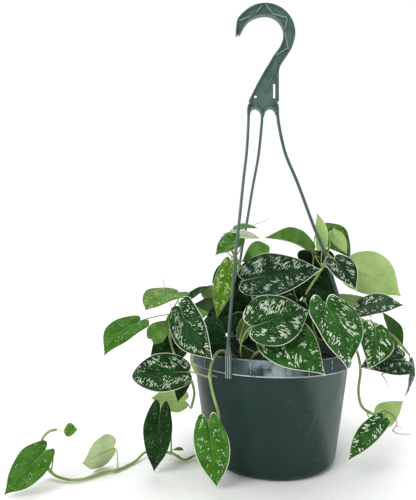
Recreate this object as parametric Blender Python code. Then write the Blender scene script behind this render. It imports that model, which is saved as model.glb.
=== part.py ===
"""A satin pothos in its green plastic hanging pot, standing on the pot's flat base.

The pot's axis is +Z, its base lies at z = 0, and the side with the long trailing stem faces -Y.
Sizes are in millimetres and become metres when a mesh is made.
"""

import math

import bmesh
import bpy
import numpy as np

MM = 0.001
GAP = 0.35

# Pot: a standard 165 mm hanging basket
RIM_RADIUS = 82.5
POT_HEIGHT = 114.0
BAND_FOOT = 99.0
WALL_TOP_RADIUS = 80.2
WALL_FOOT_RADIUS = 68.6
BASE_RADIUS = 59.0
HEEL_RADIUS = 9.0
WALL = 1.6
BAND_WALL = 2.0
FLOOR = 2.0
SIDES = 48
RIBS = 20
RIB_START = -92.0
RIB_WIDTH = 1.2
RIB_HEIGHT = 0.6
RIB_CLIP_ROOM = 5.0
DRAIN_HOLES = 8
DRAIN_CIRCLE = 47.0
DRAIN_RADIUS = 3.5

# Potting mix
MIX_TOP = 100.0

# Hanger: hook, plate, three strands and the clips that grip the rim band
CLIP_ANGLES = (-124.5, -4.5, 115.5)
CLIP_WIDTH = 7.0
CLIP_INNER = 82.95
CLIP_OUTER = 85.2
CLIP_TOP = 119.5
CLIP_FOOT = 95.8
CLIP_LIP = 2.6
STRAND_RADIUS = 1.6
STRAND_STARTS = (-22.0, 8.2, -7.2)
STRAND_END = 84.2
HOOK_DEPTH = 2.7
YOKE_DEPTH = 3.1
RIB_DEPTH = 2.2
WEB = 0.8
FLANGE = 1.5
YOKE = (-23.4, 9.4, 367.0, 376.8)
SLOT_X = 5.2
SLOT_ENDS = (379.6, 393.4)
SLOT_RADIUS = 1.2
HOLE = (-14.9, 380.4)
HOLE_RADIUS = 1.6

# The hook's inner and outer edge, given as (x, z) pairs: its tip, the arc about its centre as
# (degrees, inner radius), and the neck that widens into the plate
HOOK_CENTRE = (-4.6, 447.8)
HOOK_OUTER = 32.1
HOOK_TIP = (
    ((-31.2, 447.0), (-36.2, 446.0)),
    ((-27.2, 455.0), (-35.6, 456.0)),
    ((-22.8, 460.7), (-33.6, 463.6)),
)
HOOK_ARC = (
    (132, 21.2), (112, 19.9), (90, 19.6), (68, 19.6),
    (46, 19.6), (24, 19.6), (2, 19.6), (-20, 20.0),
)
HOOK_NECK = (
    ((10.4, 432.0), (20.8, 427.6)),
    ((4.6, 424.2), (15.6, 420.0)),
    ((-0.8, 415.0), (11.4, 412.6)),
    ((-6.0, 406.6), (10.0, 405.0)),
    ((-13.0, 394.0), (10.0, 394.0)),
    ((-22.2, 375.5), (10.0, 375.5)),
)

# Ribs across the hook's web, from (x, z) to (x, z)
HOOK_RIBS = (
    ((-32.5, 461.0), (-19.5, 466.0)),
    ((-13.5, 470.0), (-8.5, 477.0)),
    ((-4.0, 478.5), (3.5, 468.0)),
    ((3.5, 468.0), (18.5, 464.5)),
    ((15.8, 449.0), (19.0, 464.0)),
    ((16.5, 448.5), (20.0, 431.0)),
    ((19.5, 431.5), (6.5, 424.5)),
)
PLATE_RIB = ((8.2, 413.0), (-4.2, 386.0))

# How far each strand has gone towards its clip (0 to 1) at each height
STRAND_FALL = (
    (370.0, 0.0),
    (349.0, 0.03),
    (319.0, 0.12),
    (287.0, 0.29),
    (243.0, 0.50),
    (215.0, 0.65),
    (175.0, 0.81),
    (148.0, 0.92),
    (128.0, 0.985),
    (116.5, 1.0),
)

# Plant: a petiole is square in section, and BLADE is half the leaf's thickness
STEM_RADIUS = 1.5
STEM_SIDES = 6
STEM_STEPS = 2
PETIOLE = 1.1
PETIOLE_GAP = 0.5
BLADE = 0.45
LOBE = 0.17
ARCH = 0.09
FOLD = 0.16
WIDEST = 0.2
BASE_NARROWING = 0.3
LEAF_ROWS = (0, 0.16, 0.42, 0.7, 0.9)

# Every stem's route from the potting mix outwards, chosen point by point
STEMS = {
    "front_left_stem": (
        (-30, -40, 100.4), (-42, -52, 113), (-55, -62, 119), (-62, -68, 110), (-64, -72, 98),
        (-61, -75, 82), (-56, -72, 61), (-60, -58, 36), (-69, -38, 13), (-79, -18, 4.2),
        (-90, -24, 2.2), (-104, -14, 4.8), (-129, -12, 5.4), (-139, -27, 2.0), (-152, -45, 2.0),
        (-162, -49, 2.2), (-182, -64, 2.0), (-199, -63, 2.6), (-213, -56, 6), (-220, -55, 20),
        (-219, -60, 36), (-211, -65, 46), (-203, -66, 48.5),
    ),
    "left_stem": (
        (-28, -8, 100.4), (-50, -14, 126), (-78, -20, 146), (-101, -22, 148), (-104, -26, 137),
        (-103, -28, 122), (-96, -36, 106), (-84, -43, 92), (-79, -44, 76), (-82, -40, 60),
    ),
    "crown_stem": (
        (-12, -14, 100.4), (-14, -18, 130), (-20, -22, 165), (-32, -25, 196), (-45, -21, 221),
    ),
    "front_stem": (
        (-26, -54, 100.4), (-25, -61, 112), (-17, -66, 121), (-6, -66, 125),
    ),
    "upper_right_stem": (
        (14, 6, 100.4), (26, 10, 140), (46, 10, 176), (60, 8, 200), (68, 12, 222),
    ),
    "right_stem": (
        (34, -14, 100.4), (49, -22, 122), (65, -31, 129), (78, -37, 119), (83, -39, 98),
        (80, -42, 77), (84, -42, 61), (97, -42, 53),
    ),
    "side_stem": (
        (42, 8, 100.4), (72, 12, 132), (104, 4, 140), (126, -8, 128), (140, -20, 108),
    ),
    "back_left_stem": (
        (-20, 20, 100.4), (-34, 42, 130), (-50, 64, 141), (-62, 82, 126), (-66, 90, 100), (-64, 91, 82),
    ),
    "back_right_stem": (
        (16, 24, 100.4), (28, 46, 132), (44, 68, 142), (55, 86, 126), (59, 93, 100), (58, 93, 84),
    ),
}

# Every leaf: the stem it grows from and where along it (counted in that stem's points), the point
# where petiole and blade meet, the tip, the way the upper side faces, and the blade's width.
LEAVES = {
    "front_heart_leaf": ("right_stem", 1.2, (38, -80, 161), (48, -104, 110), (0.3, -0.8, 0.5), 50),
    "front_silver_leaf": ("front_stem", 2.8, (-10, -73, 136), (33, -96, 104), (-0.1, -0.8, 0.6), 48),
    "front_small_heart_leaf": ("front_stem", 0.6, (-25, -80, 144), (26, -72, 157), (-0.1, -0.85, 0.5), 50),
    "front_curled_leaf": ("front_stem", 1.4, (-36, -62, 132), (-31, -64, 155), (0.7, 0.6, 0.3), 15),
    "crown_silver_leaf": ("crown_stem", 2.3, (-29, -42, 184), (43, -52, 194), (-0.05, -0.8, 0.6), 50),
    "crown_plain_leaf": ("crown_stem", 3.2, (-4, -14, 212), (-32, -20, 203), (-0.1, -0.9, 0.5), 34),
    "crown_pale_leaf": ("crown_stem", 3.5, (-45, -9, 230), (-8, 4, 228), (0.05, 0.3, 0.95), 26),
    "crown_top_leaf": ("crown_stem", 4.0, (-37, -20, 237), (-15, -26, 236), (0.0, -0.45, 0.9), 18),
    "hanging_leaf": ("crown_stem", 3.0, (-44, -38, 201), (-57, -42, 147), (-0.1, -1.0, 0.1), 20),
    "hanging_back_leaf": ("crown_stem", 3.5, (-35.5, -28, 225), (-59, -34, 208), (-0.3, -0.8, 0.5), 24),
    "flat_crown_leaf": ("upper_right_stem", 2.5, (45, 13, 217), (-5, 4, 230), (0.0, -0.6, 0.8), 38),
    "upright_leaf": ("upper_right_stem", 3.0, (57, 5, 218), (52, 4, 258), (0.6, 0.75, 0.2), 15),
    "round_crown_leaf": ("upper_right_stem", 3.0, (70, 38, 241), (98, 30, 208), (0.3, -0.85, 0.45), 43),
    "folded_leaf": ("upper_right_stem", 4.0, (74, 17, 236), (86, 8, 212), (0.4, 0.85, 0.3), 15),
    "striped_leaf": ("upper_right_stem", 3.5, (64, -21, 204), (79, -41, 173), (0.1, -0.75, 0.65), 32),
    "big_pale_leaf": ("upper_right_stem", 3.0, (91, 12, 198), (141, -2, 166), (0.2, 0.85, 0.5), 52),
    "right_pointed_leaf": ("side_stem", 1.8, (85, -26, 154), (121, -52, 160), (0.0, -0.75, 0.65), 29),
    "right_hanging_leaf": ("right_stem", 2.2, (90, -56, 139), (77, -72, 103), (0.3, -0.85, 0.45), 36),
    "right_silver_leaf": ("side_stem", 3.7, (126, -32, 105), (75, -53, 101), (0.1, -0.8, 0.6), 36),
    "right_plain_leaf": ("side_stem", 2.5, (140, 8, 116), (125, 12, 150), (0.5, -0.8, 0.1), 26),
    "right_edge_leaf": ("side_stem", 4.0, (141, -18, 100), (133, -22, 63), (0.8, -0.55, 0.1), 30),
    "low_right_leaf": ("right_stem", 7.0, (100, -50, 52), (61, -64, 17), (-0.3, -0.75, 0.6), 19),
    "low_right_pale_leaf": ("right_stem", 6.5, (105, -34, 47), (132, -26, 63), (0.2, 0.9, 0.0), 24),
    "left_heart_leaf": ("left_stem", 3.0, (-137, -15, 140), (-166, -44, 110), (-0.25, -0.75, 0.65), 36),
    "left_upper_leaf": ("left_stem", 2.9, (-96, -27, 171), (-124, -60, 156), (-0.3, -0.6, 0.7), 42),
    "left_plain_leaf": ("left_stem", 4.6, (-119, -40, 128), (-104, -38, 146), (-0.3, -0.9, 0.2), 22),
    "left_big_leaf": ("left_stem", 2.5, (-91, -58, 159), (-61, -89, 116), (-0.65, -0.65, 0.4), 36),
    "left_thin_leaf": ("left_stem", 2.2, (-86, -6, 165), (-60, 2, 178), (-0.2, -0.6, 0.8), 12),
    "left_back_leaf": ("left_stem", 1.0, (-38, 10, 150), (-85, 0, 157), (0.0, -0.6, 0.8), 34),
    "left_inner_leaf": ("left_stem", 1.9, (-68, -34, 140), (-46, -44, 122), (-0.3, -0.8, 0.6), 26),
    "low_pale_leaf": ("left_stem", 9.0, (-91, -28, 63), (-124, -28, 66), (0.0, 0.95, 0.3), 33),
    "rim_leaf": ("front_left_stem", 4.0, (-84, -68, 101), (-133, -76, 99), (-0.1, -0.85, 0.5), 36),
    "bright_trailing_leaf": ("front_left_stem", 6.7, (-65, -81, 57), (-58, -78, 1), (-0.1, -1.0, 0.1), 31),
    "dark_trailing_leaf": ("front_left_stem", 11.0, (-112, -40, 56), (-117, -49, 1), (-0.3, -0.95, 0.2), 30),
    "bud_leaf": ("front_left_stem", 10.5, (-101, -20, 11), (-90, -27, 13), (0.3, -0.3, 0.9), 8),
    "standing_leaf": ("front_left_stem", 14.2, (-160, -38, 19), (-182, -62, 15), (-0.7, 0.66, 0.25), 37),
    "far_leaf": ("front_left_stem", 18.0, (-213, -72, 29.5), (-239, -91, 1.5), (-0.2, -0.8, 0.5), 34),
    "new_leaf": ("front_left_stem", 22.0, (-196, -68, 48), (-182.5, -71, 50), (0.1, -0.9, 0.4), 12),
    "back_left_side_leaf": ("back_left_stem", 1.0, (-78, 32, 152), (-120, 50, 122), (-0.4, 0.3, 0.85), 42),
    "back_left_rim_leaf": ("back_left_stem", 2.4, (-74, 84, 146), (-98, 112, 112), (-0.4, 0.6, 0.7), 44),
    "back_upper_leaf": ("back_left_stem", 1.5, (-54, 76, 172), (-60, 116, 142), (-0.1, 0.6, 0.8), 42),
    "back_left_low_leaf": ("back_left_stem", 4.4, (-70, 104, 92), (-78, 116, 46), (-0.4, 0.9, 0.2), 36),
    "back_crown_leaf": ("back_left_stem", 0.5, (7, 25, 162), (52, 25, 181), (0.0, -0.9, 0.4), 40),
    "back_middle_leaf": ("back_right_stem", 1.5, (8, 84, 162), (4, 122, 126), (0.0, 0.6, 0.75), 46),
    "back_right_rim_leaf": ("back_right_stem", 2.5, (68, 76, 156), (98, 102, 124), (0.3, 0.5, 0.8), 44),
    "back_right_low_leaf": ("back_right_stem", 4.4, (66, 106, 96), (78, 118, 48), (0.4, 0.9, 0.2), 38),
    "back_right_side_leaf": ("back_right_stem", 1.0, (88, 38, 162), (132, 54, 138), (0.3, 0.3, 0.9), 42),
    "back_top_leaf": ("back_right_stem", 0.5, (40, 30, 205), (80, 30, 173), (0.1, -0.9, 0.4), 46),
}


def material(name, colour, roughness):
    """A plain Principled material."""
    made = bpy.data.materials.new(name)
    made.use_nodes = True
    shader = made.node_tree.nodes["Principled BSDF"]
    shader.inputs["Base Color"].default_value = (*colour, 1.0)
    shader.inputs["Roughness"].default_value = roughness
    return made


def mesh_object(name, points, faces, finish=None):
    """A mesh object from points in millimetres, with its faces turned outwards."""
    mesh = bpy.data.meshes.new(name)
    mesh.from_pydata((np.asarray(points, float) * MM).tolist(), [], faces)
    work = bmesh.new()
    work.from_mesh(mesh)
    bmesh.ops.recalc_face_normals(work, faces=work.faces)
    work.to_mesh(mesh)
    work.free()
    mesh.shade_smooth()
    mesh.set_sharp_from_angle(angle=math.radians(40))
    made = bpy.data.objects.new(name, mesh)
    bpy.context.scene.collection.objects.link(made)
    if finish:
        mesh.materials.append(finish)
    return made


def boolean(target, tool, operation):
    """Joins a tool to its target or cuts it out, and keeps the tool out of renders."""
    tool.hide_render = True
    tool.display_type = "WIRE"
    step = target.modifiers.new(tool.name, "BOOLEAN")
    step.operation = operation
    step.object = tool
    step.solver = "EXACT"


def turned(profile, sides):
    """Points and faces of a profile of (radius, height) turned about Z, with both ends on the axis."""
    angles = np.arange(sides) * 2 * math.pi / sides
    rings = [(r * math.cos(a), r * math.sin(a), z) for r, z in profile[1:-1] for a in angles]
    points = [(0, 0, profile[0][1])] + rings + [(0, 0, profile[-1][1])]
    rows = len(profile) - 2
    last = len(points) - 1
    faces = []
    for k in range(sides):
        after = (k + 1) % sides
        faces.append((0, 1 + after, 1 + k))
        faces.append((last, last - sides + k, last - sides + after))
        for row in range(rows - 1):
            low = 1 + row * sides
            faces.append((low + k, low + after, low + sides + after, low + sides + k))
    return points, faces


def box(x, y, z):
    """The eight corners of a box from three (low, high) pairs."""
    return [(x[i], y[j], z[k]) for k in (0, 1) for i, j in ((0, 0), (1, 0), (1, 1), (0, 1))]


def boxes_object(name, corner_sets):
    """One mesh holding several boxes, each from its eight corners."""
    faces = ((0, 3, 2, 1), (4, 5, 6, 7), (0, 1, 5, 4), (1, 2, 6, 5), (2, 3, 7, 6), (3, 0, 4, 7))
    points = [corner for corners in corner_sets for corner in corners]
    all_faces = [[8 * n + i for i in face] for n in range(len(corner_sets)) for face in faces]
    return mesh_object(name, points, all_faces)


def swung(corners, degrees):
    """Corners turned about the pot's axis."""
    c, s = math.cos(math.radians(degrees)), math.sin(math.radians(degrees))
    return [(x * c - y * s, x * s + y * c, z) for x, y, z in corners]


def smooth_route(points, steps):
    """A Catmull-Rom curve through the points, with the given steps from each to the next."""
    p = np.asarray(points, float)
    p = np.vstack([2 * p[0] - p[1], p, 2 * p[-1] - p[-2]])
    spans = len(p) - 3
    return np.array([route_point(p, i / steps) for i in range(spans * steps + 1)])


def route_point(padded, at):
    """The point at a position counted in route points, on a list padded with one point at each end."""
    span = min(int(at), len(padded) - 4)
    t = at - span
    a, b, c, d = padded[span : span + 4]
    return 0.5 * (2 * b + (c - a) * t + (2 * a - 5 * b + 4 * c - d) * t**2 + (3 * b - a - 3 * c + d) * t**3)


def unit(vector):
    """The same direction at length one."""
    return np.asarray(vector, float) / np.linalg.norm(vector)


def tube(route, radius, sides, turn=0.5):
    """Points and faces of a round bar along a route, its section carried along without twisting."""
    tangents = np.gradient(route, axis=0)
    side = unit(np.cross(tangents[0], (0.3, 0.9, 0.2)))
    points = []
    for centre, along in zip(route, tangents):
        along = unit(along)
        side = unit(side - along * np.dot(side, along))
        up = np.cross(along, side)
        for k in range(sides):
            a = 2 * math.pi * (k + turn) / sides
            points.append(centre + radius * (math.cos(a) * side + math.sin(a) * up))
    rings = len(route)
    faces = [list(range(sides)), list(range((rings - 1) * sides, rings * sides))]
    faces += ring_faces(rings, sides, 0)
    return points, faces


def ring_faces(rings, sides, first):
    """Quads between successive rings of points."""
    return [
        (first + r * sides + k, first + r * sides + (k + 1) % sides,
         first + (r + 1) * sides + (k + 1) % sides, first + (r + 1) * sides + k)
        for r in range(rings - 1)
        for k in range(sides)
    ]


def pot():
    """The pot: a turned shell with a rim band, its ribs joined on and its drain holes cut through."""
    heel = [
        (BASE_RADIUS + HEEL_RADIUS * math.sin(a), HEEL_RADIUS * (1 - math.cos(a)))
        for a in (0.0, 0.5, 1.0, 1.4)
    ]
    profile = (
        [(0, 0)]
        + heel
        + [
            (WALL_TOP_RADIUS, BAND_FOOT),
            (RIM_RADIUS, BAND_FOOT),
            (RIM_RADIUS, POT_HEIGHT - 1),
            (RIM_RADIUS - 1, POT_HEIGHT),
            (RIM_RADIUS - BAND_WALL, POT_HEIGHT),
            (WALL_TOP_RADIUS - WALL, BAND_FOOT - 2),
            (WALL_FOOT_RADIUS - WALL, HEEL_RADIUS),
            (BASE_RADIUS, FLOOR),
            (0, FLOOR),
        ]
    )
    made = mesh_object("pot", *turned(profile, SIDES), material("pot_plastic", (0.03, 0.06, 0.05), 0.45))
    angles = [RIB_START + 360 * k / RIBS for k in range(RIBS)]
    free = [
        a for a in angles if all(abs((a - c + 180) % 360 - 180) > RIB_CLIP_ROOM for c in CLIP_ANGLES)
    ]
    half = RIB_WIDTH / 2
    rib = box((RIM_RADIUS - 1.5, RIM_RADIUS + RIB_HEIGHT), (-half, half), (BAND_FOOT + 0.5, POT_HEIGHT - 1.5))
    boolean(made, boxes_object("rim_ribs", [swung(rib, a) for a in free]), "UNION")
    for k in range(DRAIN_HOLES):
        a = 2 * math.pi * (k + 0.5) / DRAIN_HOLES
        foot = np.array((DRAIN_CIRCLE * math.cos(a), DRAIN_CIRCLE * math.sin(a), -3))
        route = np.array([foot, foot + (0, 0, 3 + FLOOR + 3)])
        boolean(made, mesh_object(f"drain_{k + 1}", *tube(route, DRAIN_RADIUS, 10)), "DIFFERENCE")


def potting_mix():
    """The filling, a little smaller than the pot's inside, with a flat top."""
    profile = [
        (0, FLOOR + GAP),
        (BASE_RADIUS - 1.0, FLOOR + GAP),
        (WALL_FOOT_RADIUS - WALL - 0.6, HEEL_RADIUS),
        (WALL_TOP_RADIUS - WALL - 0.5, BAND_FOOT - 2),
        (WALL_TOP_RADIUS - WALL - 0.4, MIX_TOP),
        (0, MIX_TOP),
    ]
    mesh_object("potting_mix", *turned(profile, SIDES), material("peat_and_bark", (0.03, 0.02, 0.015), 0.95))


def hook_stations():
    """Pairs of (inner, outer) edge points in the hook's plane, from its tip round to the yoke."""
    cx, cz = HOOK_CENTRE
    arc = []
    for degrees, inner in HOOK_ARC:
        c, s = math.cos(math.radians(degrees)), math.sin(math.radians(degrees))
        arc.append(((cx + inner * c, cz + inner * s), (cx + HOOK_OUTER * c, cz + HOOK_OUTER * s)))
    return [*HOOK_TIP, *arc, *HOOK_NECK]


def hook_body():
    """Points and faces of the hook and plate: an I section carried from the tip down to the yoke."""
    points = []
    for inner, outer in hook_stations():
        inner, outer = np.array(inner), np.array(outer)
        width = np.linalg.norm(outer - inner)
        along = (outer - inner) / width
        far = width - FLANGE
        section = ((0, -1), (FLANGE, -1), (FLANGE, 0), (far, 0), (far, -1), (width, -1))
        outline = [(a, -HOOK_DEPTH if deep else -WEB) for a, deep in section]
        outline += [(a, HOOK_DEPTH if deep else WEB) for a, deep in reversed(section)]
        for a, y in outline:
            x, z = inner + along * a
            points.append((x, y, z))
    rings = len(points) // 12
    faces = [list(range(12)), list(range(12 * (rings - 1), 12 * rings))]
    return points, faces + ring_faces(rings, 12, 0)


def web_rib(start, end, depth, thick=1.1):
    """The corners of a straight rib between two points of the hook's plane."""
    start, end = np.array(start), np.array(end)
    across = unit((end[1] - start[1], start[0] - end[0])) * thick / 2
    ends = (start - across, start + across, end + across, end - across)
    return [(x, y, z) for y in (-depth, depth) for x, z in ends]


def strand_route(start_x, angle):
    """A strand's route from the yoke to its clip, by the common fall of all three."""
    angle = math.radians(angle)
    end = STRAND_END * np.array((math.cos(angle), math.sin(angle)))
    start = np.array((start_x, 0.0))
    return smooth_route([(*(start + (end - start) * h), z) for z, h in STRAND_FALL], 2)


def clip_corners():
    """A clip's upright and the lip that reaches under the rim band, at angle zero."""
    half = CLIP_WIDTH / 2
    upright = box((CLIP_INNER, CLIP_OUTER), (-half, half), (CLIP_FOOT, CLIP_TOP))
    lip_reach = (WALL_TOP_RADIUS + 0.8, CLIP_INNER + 1)
    lip = box(lip_reach, (0.5 - half, half - 0.5), (CLIP_FOOT + 0.3, CLIP_FOOT + CLIP_LIP))
    return upright, lip


def hanger():
    """The hanger, one moulding joined from its hook, yoke, ribs, strands and clips."""
    made = mesh_object("hanger", *hook_body(), material("hanger_plastic", (0.09, 0.17, 0.14), 0.4))
    x0, x1, z0, z1 = YOKE
    boolean(made, boxes_object("yoke", [box((x0, x1), (-YOKE_DEPTH, YOKE_DEPTH), (z0, z1))]), "UNION")
    apart = [web_rib(a, b, RIB_DEPTH) for a, b in HOOK_RIBS[:3]]
    boolean(made, boxes_object("hook_ribs", apart), "UNION")
    for k, (a, b) in enumerate(HOOK_RIBS[3:]):
        rib = web_rib(a, b, RIB_DEPTH - 0.1 * (k % 2))
        boolean(made, boxes_object(f"hook_rib_{k + 1}", [rib]), "UNION")
    boolean(made, boxes_object("plate_rib", [web_rib(*PLATE_RIB, 1.5, 2.0)]), "UNION")
    for k, (start, angle) in enumerate(zip(STRAND_STARTS, CLIP_ANGLES)):
        route = strand_route(start, angle)
        boolean(made, mesh_object(f"strand_{k + 1}", *tube(route, STRAND_RADIUS, 8)), "UNION")
        upright, lip = clip_corners()
        boolean(made, boxes_object(f"clip_{k + 1}", [swung(upright, angle)]), "UNION")
        boolean(made, boxes_object(f"clip_lip_{k + 1}", [swung(lip, angle)]), "UNION")
    low, high = SLOT_ENDS
    half_turn = np.linspace(0, math.pi, 5)
    slot = [(SLOT_X - SLOT_RADIUS * math.cos(a), low - SLOT_RADIUS * math.sin(a)) for a in half_turn]
    slot += [(SLOT_X + SLOT_RADIUS * math.cos(a), high + SLOT_RADIUS * math.sin(a)) for a in half_turn]
    around = len(slot)
    points = [(x, y, z) for y in (-2 * YOKE_DEPTH, 2 * YOKE_DEPTH) for x, z in slot]
    faces = [list(range(around)), list(range(around, 2 * around))] + ring_faces(2, around, 0)
    boolean(made, mesh_object("plate_slot", points, faces), "DIFFERENCE")
    x, z = HOLE
    hole = np.array([(x, -2 * YOKE_DEPTH, z), (x, 2 * YOKE_DEPTH, z)])
    boolean(made, mesh_object("plate_hole", *tube(hole, HOLE_RADIUS, 10)), "DIFFERENCE")


def blade_point(u, t, length, width):
    """Where a point of the blade lies across, ahead and above, before its thickness.

    u runs across from -1 to 1 and t from the petiole (0) to the tip (1). The half width swells to its
    full size at WIDEST and closes as a cosine towards the tip. Rows near the base bend back into two
    lobes. The blade arches along its length and is folded a little along its middle.
    """
    if t < WIDEST:
        half = 1 - BASE_NARROWING * ((WIDEST - t) / WIDEST) ** 2
    else:
        half = math.cos((t - WIDEST) / (1 - WIDEST) * math.pi / 2) ** 0.95
    across = u * half * width / 2
    lobe = LOBE * length * (1 - t) ** 2 * math.sin(math.pi * abs(u) ** 0.8)
    above = ARCH * length * 4 * t * (1 - t) + FOLD * abs(across) * (1 - t)
    return across, length * t - lobe, above


def blade(base, tip, normal, across, width):
    """Points and faces of a leaf's blade, open only in the notch where the petiole joins it.

    Also returns how many points one side has and the four points round the opening.
    """
    ahead = tip - base
    length = np.linalg.norm(ahead)
    ahead = ahead / length
    inner = 2 * PETIOLE / width
    columns = (-1, -0.55, -inner, inner, 0.55, 1)
    wide, rows = len(columns), len(LEAF_ROWS)
    points = []
    for thick in (BLADE, -BLADE):
        for t in LEAF_ROWS:
            for u in columns:
                x, y, z = blade_point(u, t, length, width)
                points.append(base + across * x + ahead * y + normal * (z + thick))
        points.append(tip + normal * thick)
    count = len(points) // 2
    faces = []
    for low in (0, count):
        for row in range(rows - 1):
            for k in range(wide - 1):
                a = low + row * wide + k
                faces.append((a, a + 1, a + wide + 1, a + wide))
        end = low + (rows - 1) * wide
        faces += [(end + k, end + k + 1, low + count - 1) for k in range(wide - 1)]
    left = [row * wide for row in range(rows)] + [count - 1]
    right = [row * wide + wide - 1 for row in range(rows)] + [count - 1]
    middle = wide // 2 - 1
    edges = list(zip(left, left[1:])) + list(zip(right, right[1:]))
    edges += [(k, k + 1) for k in range(wide - 1) if k != middle]
    faces += [(a, b, b + count, a + count) for a, b in edges]
    return points, faces, [middle, middle + 1, count + middle + 1, count + middle]


def leaf(name, spec, finish):
    """A leaf as one closed solid: its blade, and the petiole that runs from the notch to the stem."""
    stem_name, at, base, tip, face, width = spec
    base, tip = np.array(base, float), np.array(tip, float)
    ahead = unit(tip - base)
    normal = unit(np.array(face) - ahead * np.dot(face, ahead))
    across = np.cross(ahead, normal)
    points, faces, ring = blade(base, tip, normal, across, width)
    notch = np.mean([points[k] for k in ring], axis=0)
    route, arriving = petiole_route(notch, ahead, normal, stem_name, at)
    tangents = np.gradient(route, axis=0)
    tangents[-1] = arriving
    side = across
    for centre, along in zip(route[1:], tangents[1:]):
        along = unit(along)
        side = unit(side - along * np.dot(side, along))
        up = np.cross(along, side)
        fresh = [len(points) + k for k in range(4)]
        points += [centre + PETIOLE * (a * side + b * up) for a, b in ((-1, 1), (1, 1), (1, -1), (-1, -1))]
        faces += [(ring[k], ring[(k + 1) % 4], fresh[(k + 1) % 4], fresh[k]) for k in range(4)]
        ring = fresh
    faces.append(ring)
    mesh_object(name, points, faces, finish)


def petiole_route(notch, ahead, normal, stem_name, at):
    """The petiole: out of the notch, down behind the blade and onto the stem's surface.

    It leaves the notch mostly backwards, and the more the stem lies under the blade, the more downwards.
    """
    padded = np.asarray(STEMS[stem_name], float)
    padded = np.vstack([2 * padded[0] - padded[1], padded, 2 * padded[-1] - padded[-2]])
    last = len(padded) - 3
    at = round(at * STEM_STEPS) / STEM_STEPS
    centre = route_point(padded, at)
    tangent = unit(route_point(padded, min(at + 0.1, last)) - route_point(padded, max(at - 0.1, 0)))
    reach = np.linalg.norm(notch - centre)
    under = max(0.0, np.dot(centre - notch, ahead) / reach)
    back, down, share = 0.8 - 0.3 * under, 0.35 + 0.45 * under, 0.35 + 0.1 * under
    first = notch - (ahead * back + normal * down) * share * reach
    out = first - centre
    out = unit(out - tangent * np.dot(out, tangent))
    end = centre + out * (STEM_RADIUS + PETIOLE_GAP)
    if at >= last:
        out, end = tangent, centre + tangent * PETIOLE_GAP
    second = end + out * 0.3 * reach
    t = np.linspace(0, 1, 6)[:, None]
    route = notch * (1 - t) ** 3 + first * 3 * t * (1 - t) ** 2 + second * 3 * t**2 * (1 - t) + end * t**3
    return route, -out


def plant():
    """Every stem and every leaf."""
    green_stem = material("green_stem", (0.35, 0.45, 0.16), 0.5)
    for name, points in STEMS.items():
        bar, faces = tube(smooth_route(points, STEM_STEPS), STEM_RADIUS, STEM_SIDES)
        for point in bar[:STEM_SIDES]:
            point[2] = MIX_TOP + GAP
        mesh_object(name, bar, faces, green_stem)
    satin = material("satin_leaf", (0.06, 0.16, 0.05), 0.45)
    for name, spec in LEAVES.items():
        leaf(name, spec, satin)


def main():
    """Clears the scene and makes every piece."""
    for old in list(bpy.data.objects):
        bpy.data.objects.remove(old)
    pot()
    potting_mix()
    hanger()
    plant()


main()
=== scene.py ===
"""The finished look of a satin pothos in its green plastic hanging pot.

Lengths are in millimetres until a mesh is made. The pot's axis is +Z, its base lies at z = 0, and the
side with the long trailing stem faces -Y.
"""

import math

import bpy
import numpy as np
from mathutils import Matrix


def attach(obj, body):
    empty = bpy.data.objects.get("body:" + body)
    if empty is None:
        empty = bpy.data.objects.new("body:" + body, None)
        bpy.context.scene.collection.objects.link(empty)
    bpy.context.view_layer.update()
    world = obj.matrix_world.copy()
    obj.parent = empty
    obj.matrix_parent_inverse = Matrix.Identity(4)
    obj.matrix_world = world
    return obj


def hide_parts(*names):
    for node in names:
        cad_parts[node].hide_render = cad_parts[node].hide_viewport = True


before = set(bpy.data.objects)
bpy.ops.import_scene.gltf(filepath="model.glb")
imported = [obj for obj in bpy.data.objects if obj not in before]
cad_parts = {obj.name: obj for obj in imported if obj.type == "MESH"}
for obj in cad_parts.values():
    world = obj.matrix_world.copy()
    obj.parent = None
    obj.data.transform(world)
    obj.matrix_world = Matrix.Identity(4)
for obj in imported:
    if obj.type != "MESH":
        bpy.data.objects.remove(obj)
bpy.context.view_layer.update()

MM = 0.001

# The turn between neighbours that spreads directions evenly
GOLDEN_TURN = 2.39996

# Room left between neighbours that would touch
GAP = 0.35

# Pot: a standard 165 mm hanging basket
RIM_RADIUS = 82.5
POT_HEIGHT = 114.0
BAND_FOOT = 99.0
WALL_TOP_RADIUS = 80.2
WALL_FOOT_RADIUS = 68.6
BASE_RADIUS = 59.0
BASE_MIDDLE = 8.0
HEEL_RADIUS = 9.0
HEEL_TURN = 1.4
WALL = 1.6
BAND_WALL = 2.0
FLOOR = 2.0
LIP_RADIUS = 1.0
POT_SIDES = 240
RIBS = 20
RIB_START = -92.0
RIB_HEIGHT = 0.6
RIB_CLIP_ROOM = 5.0
RIB_STEPS = (-0.9, -0.62, -0.5, -0.3, 0, 0.3, 0.5, 0.62, 0.9)
DRAIN_HOLES = 8
DRAIN_CIRCLE = 47.0
DRAIN_RADIUS = 3.5

# Potting mix: its lumpy surface lies MIX_SUNK below MIX_TOP and sinks between the two radii of
# MIX_SINKS; bits are strewn out to MIX_SPREAD
MIX_TOP = 100.0
MIX_SUNK = 1.2
MIX_LUMPS = 1.1
MIX_SIDES = 160
MIX_SINKS = (70, 78)
MIX_SPREAD = 73.0
WAVES = 7
WAVE_TURN = 2.4
WAVE_PACE = 0.09

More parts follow.
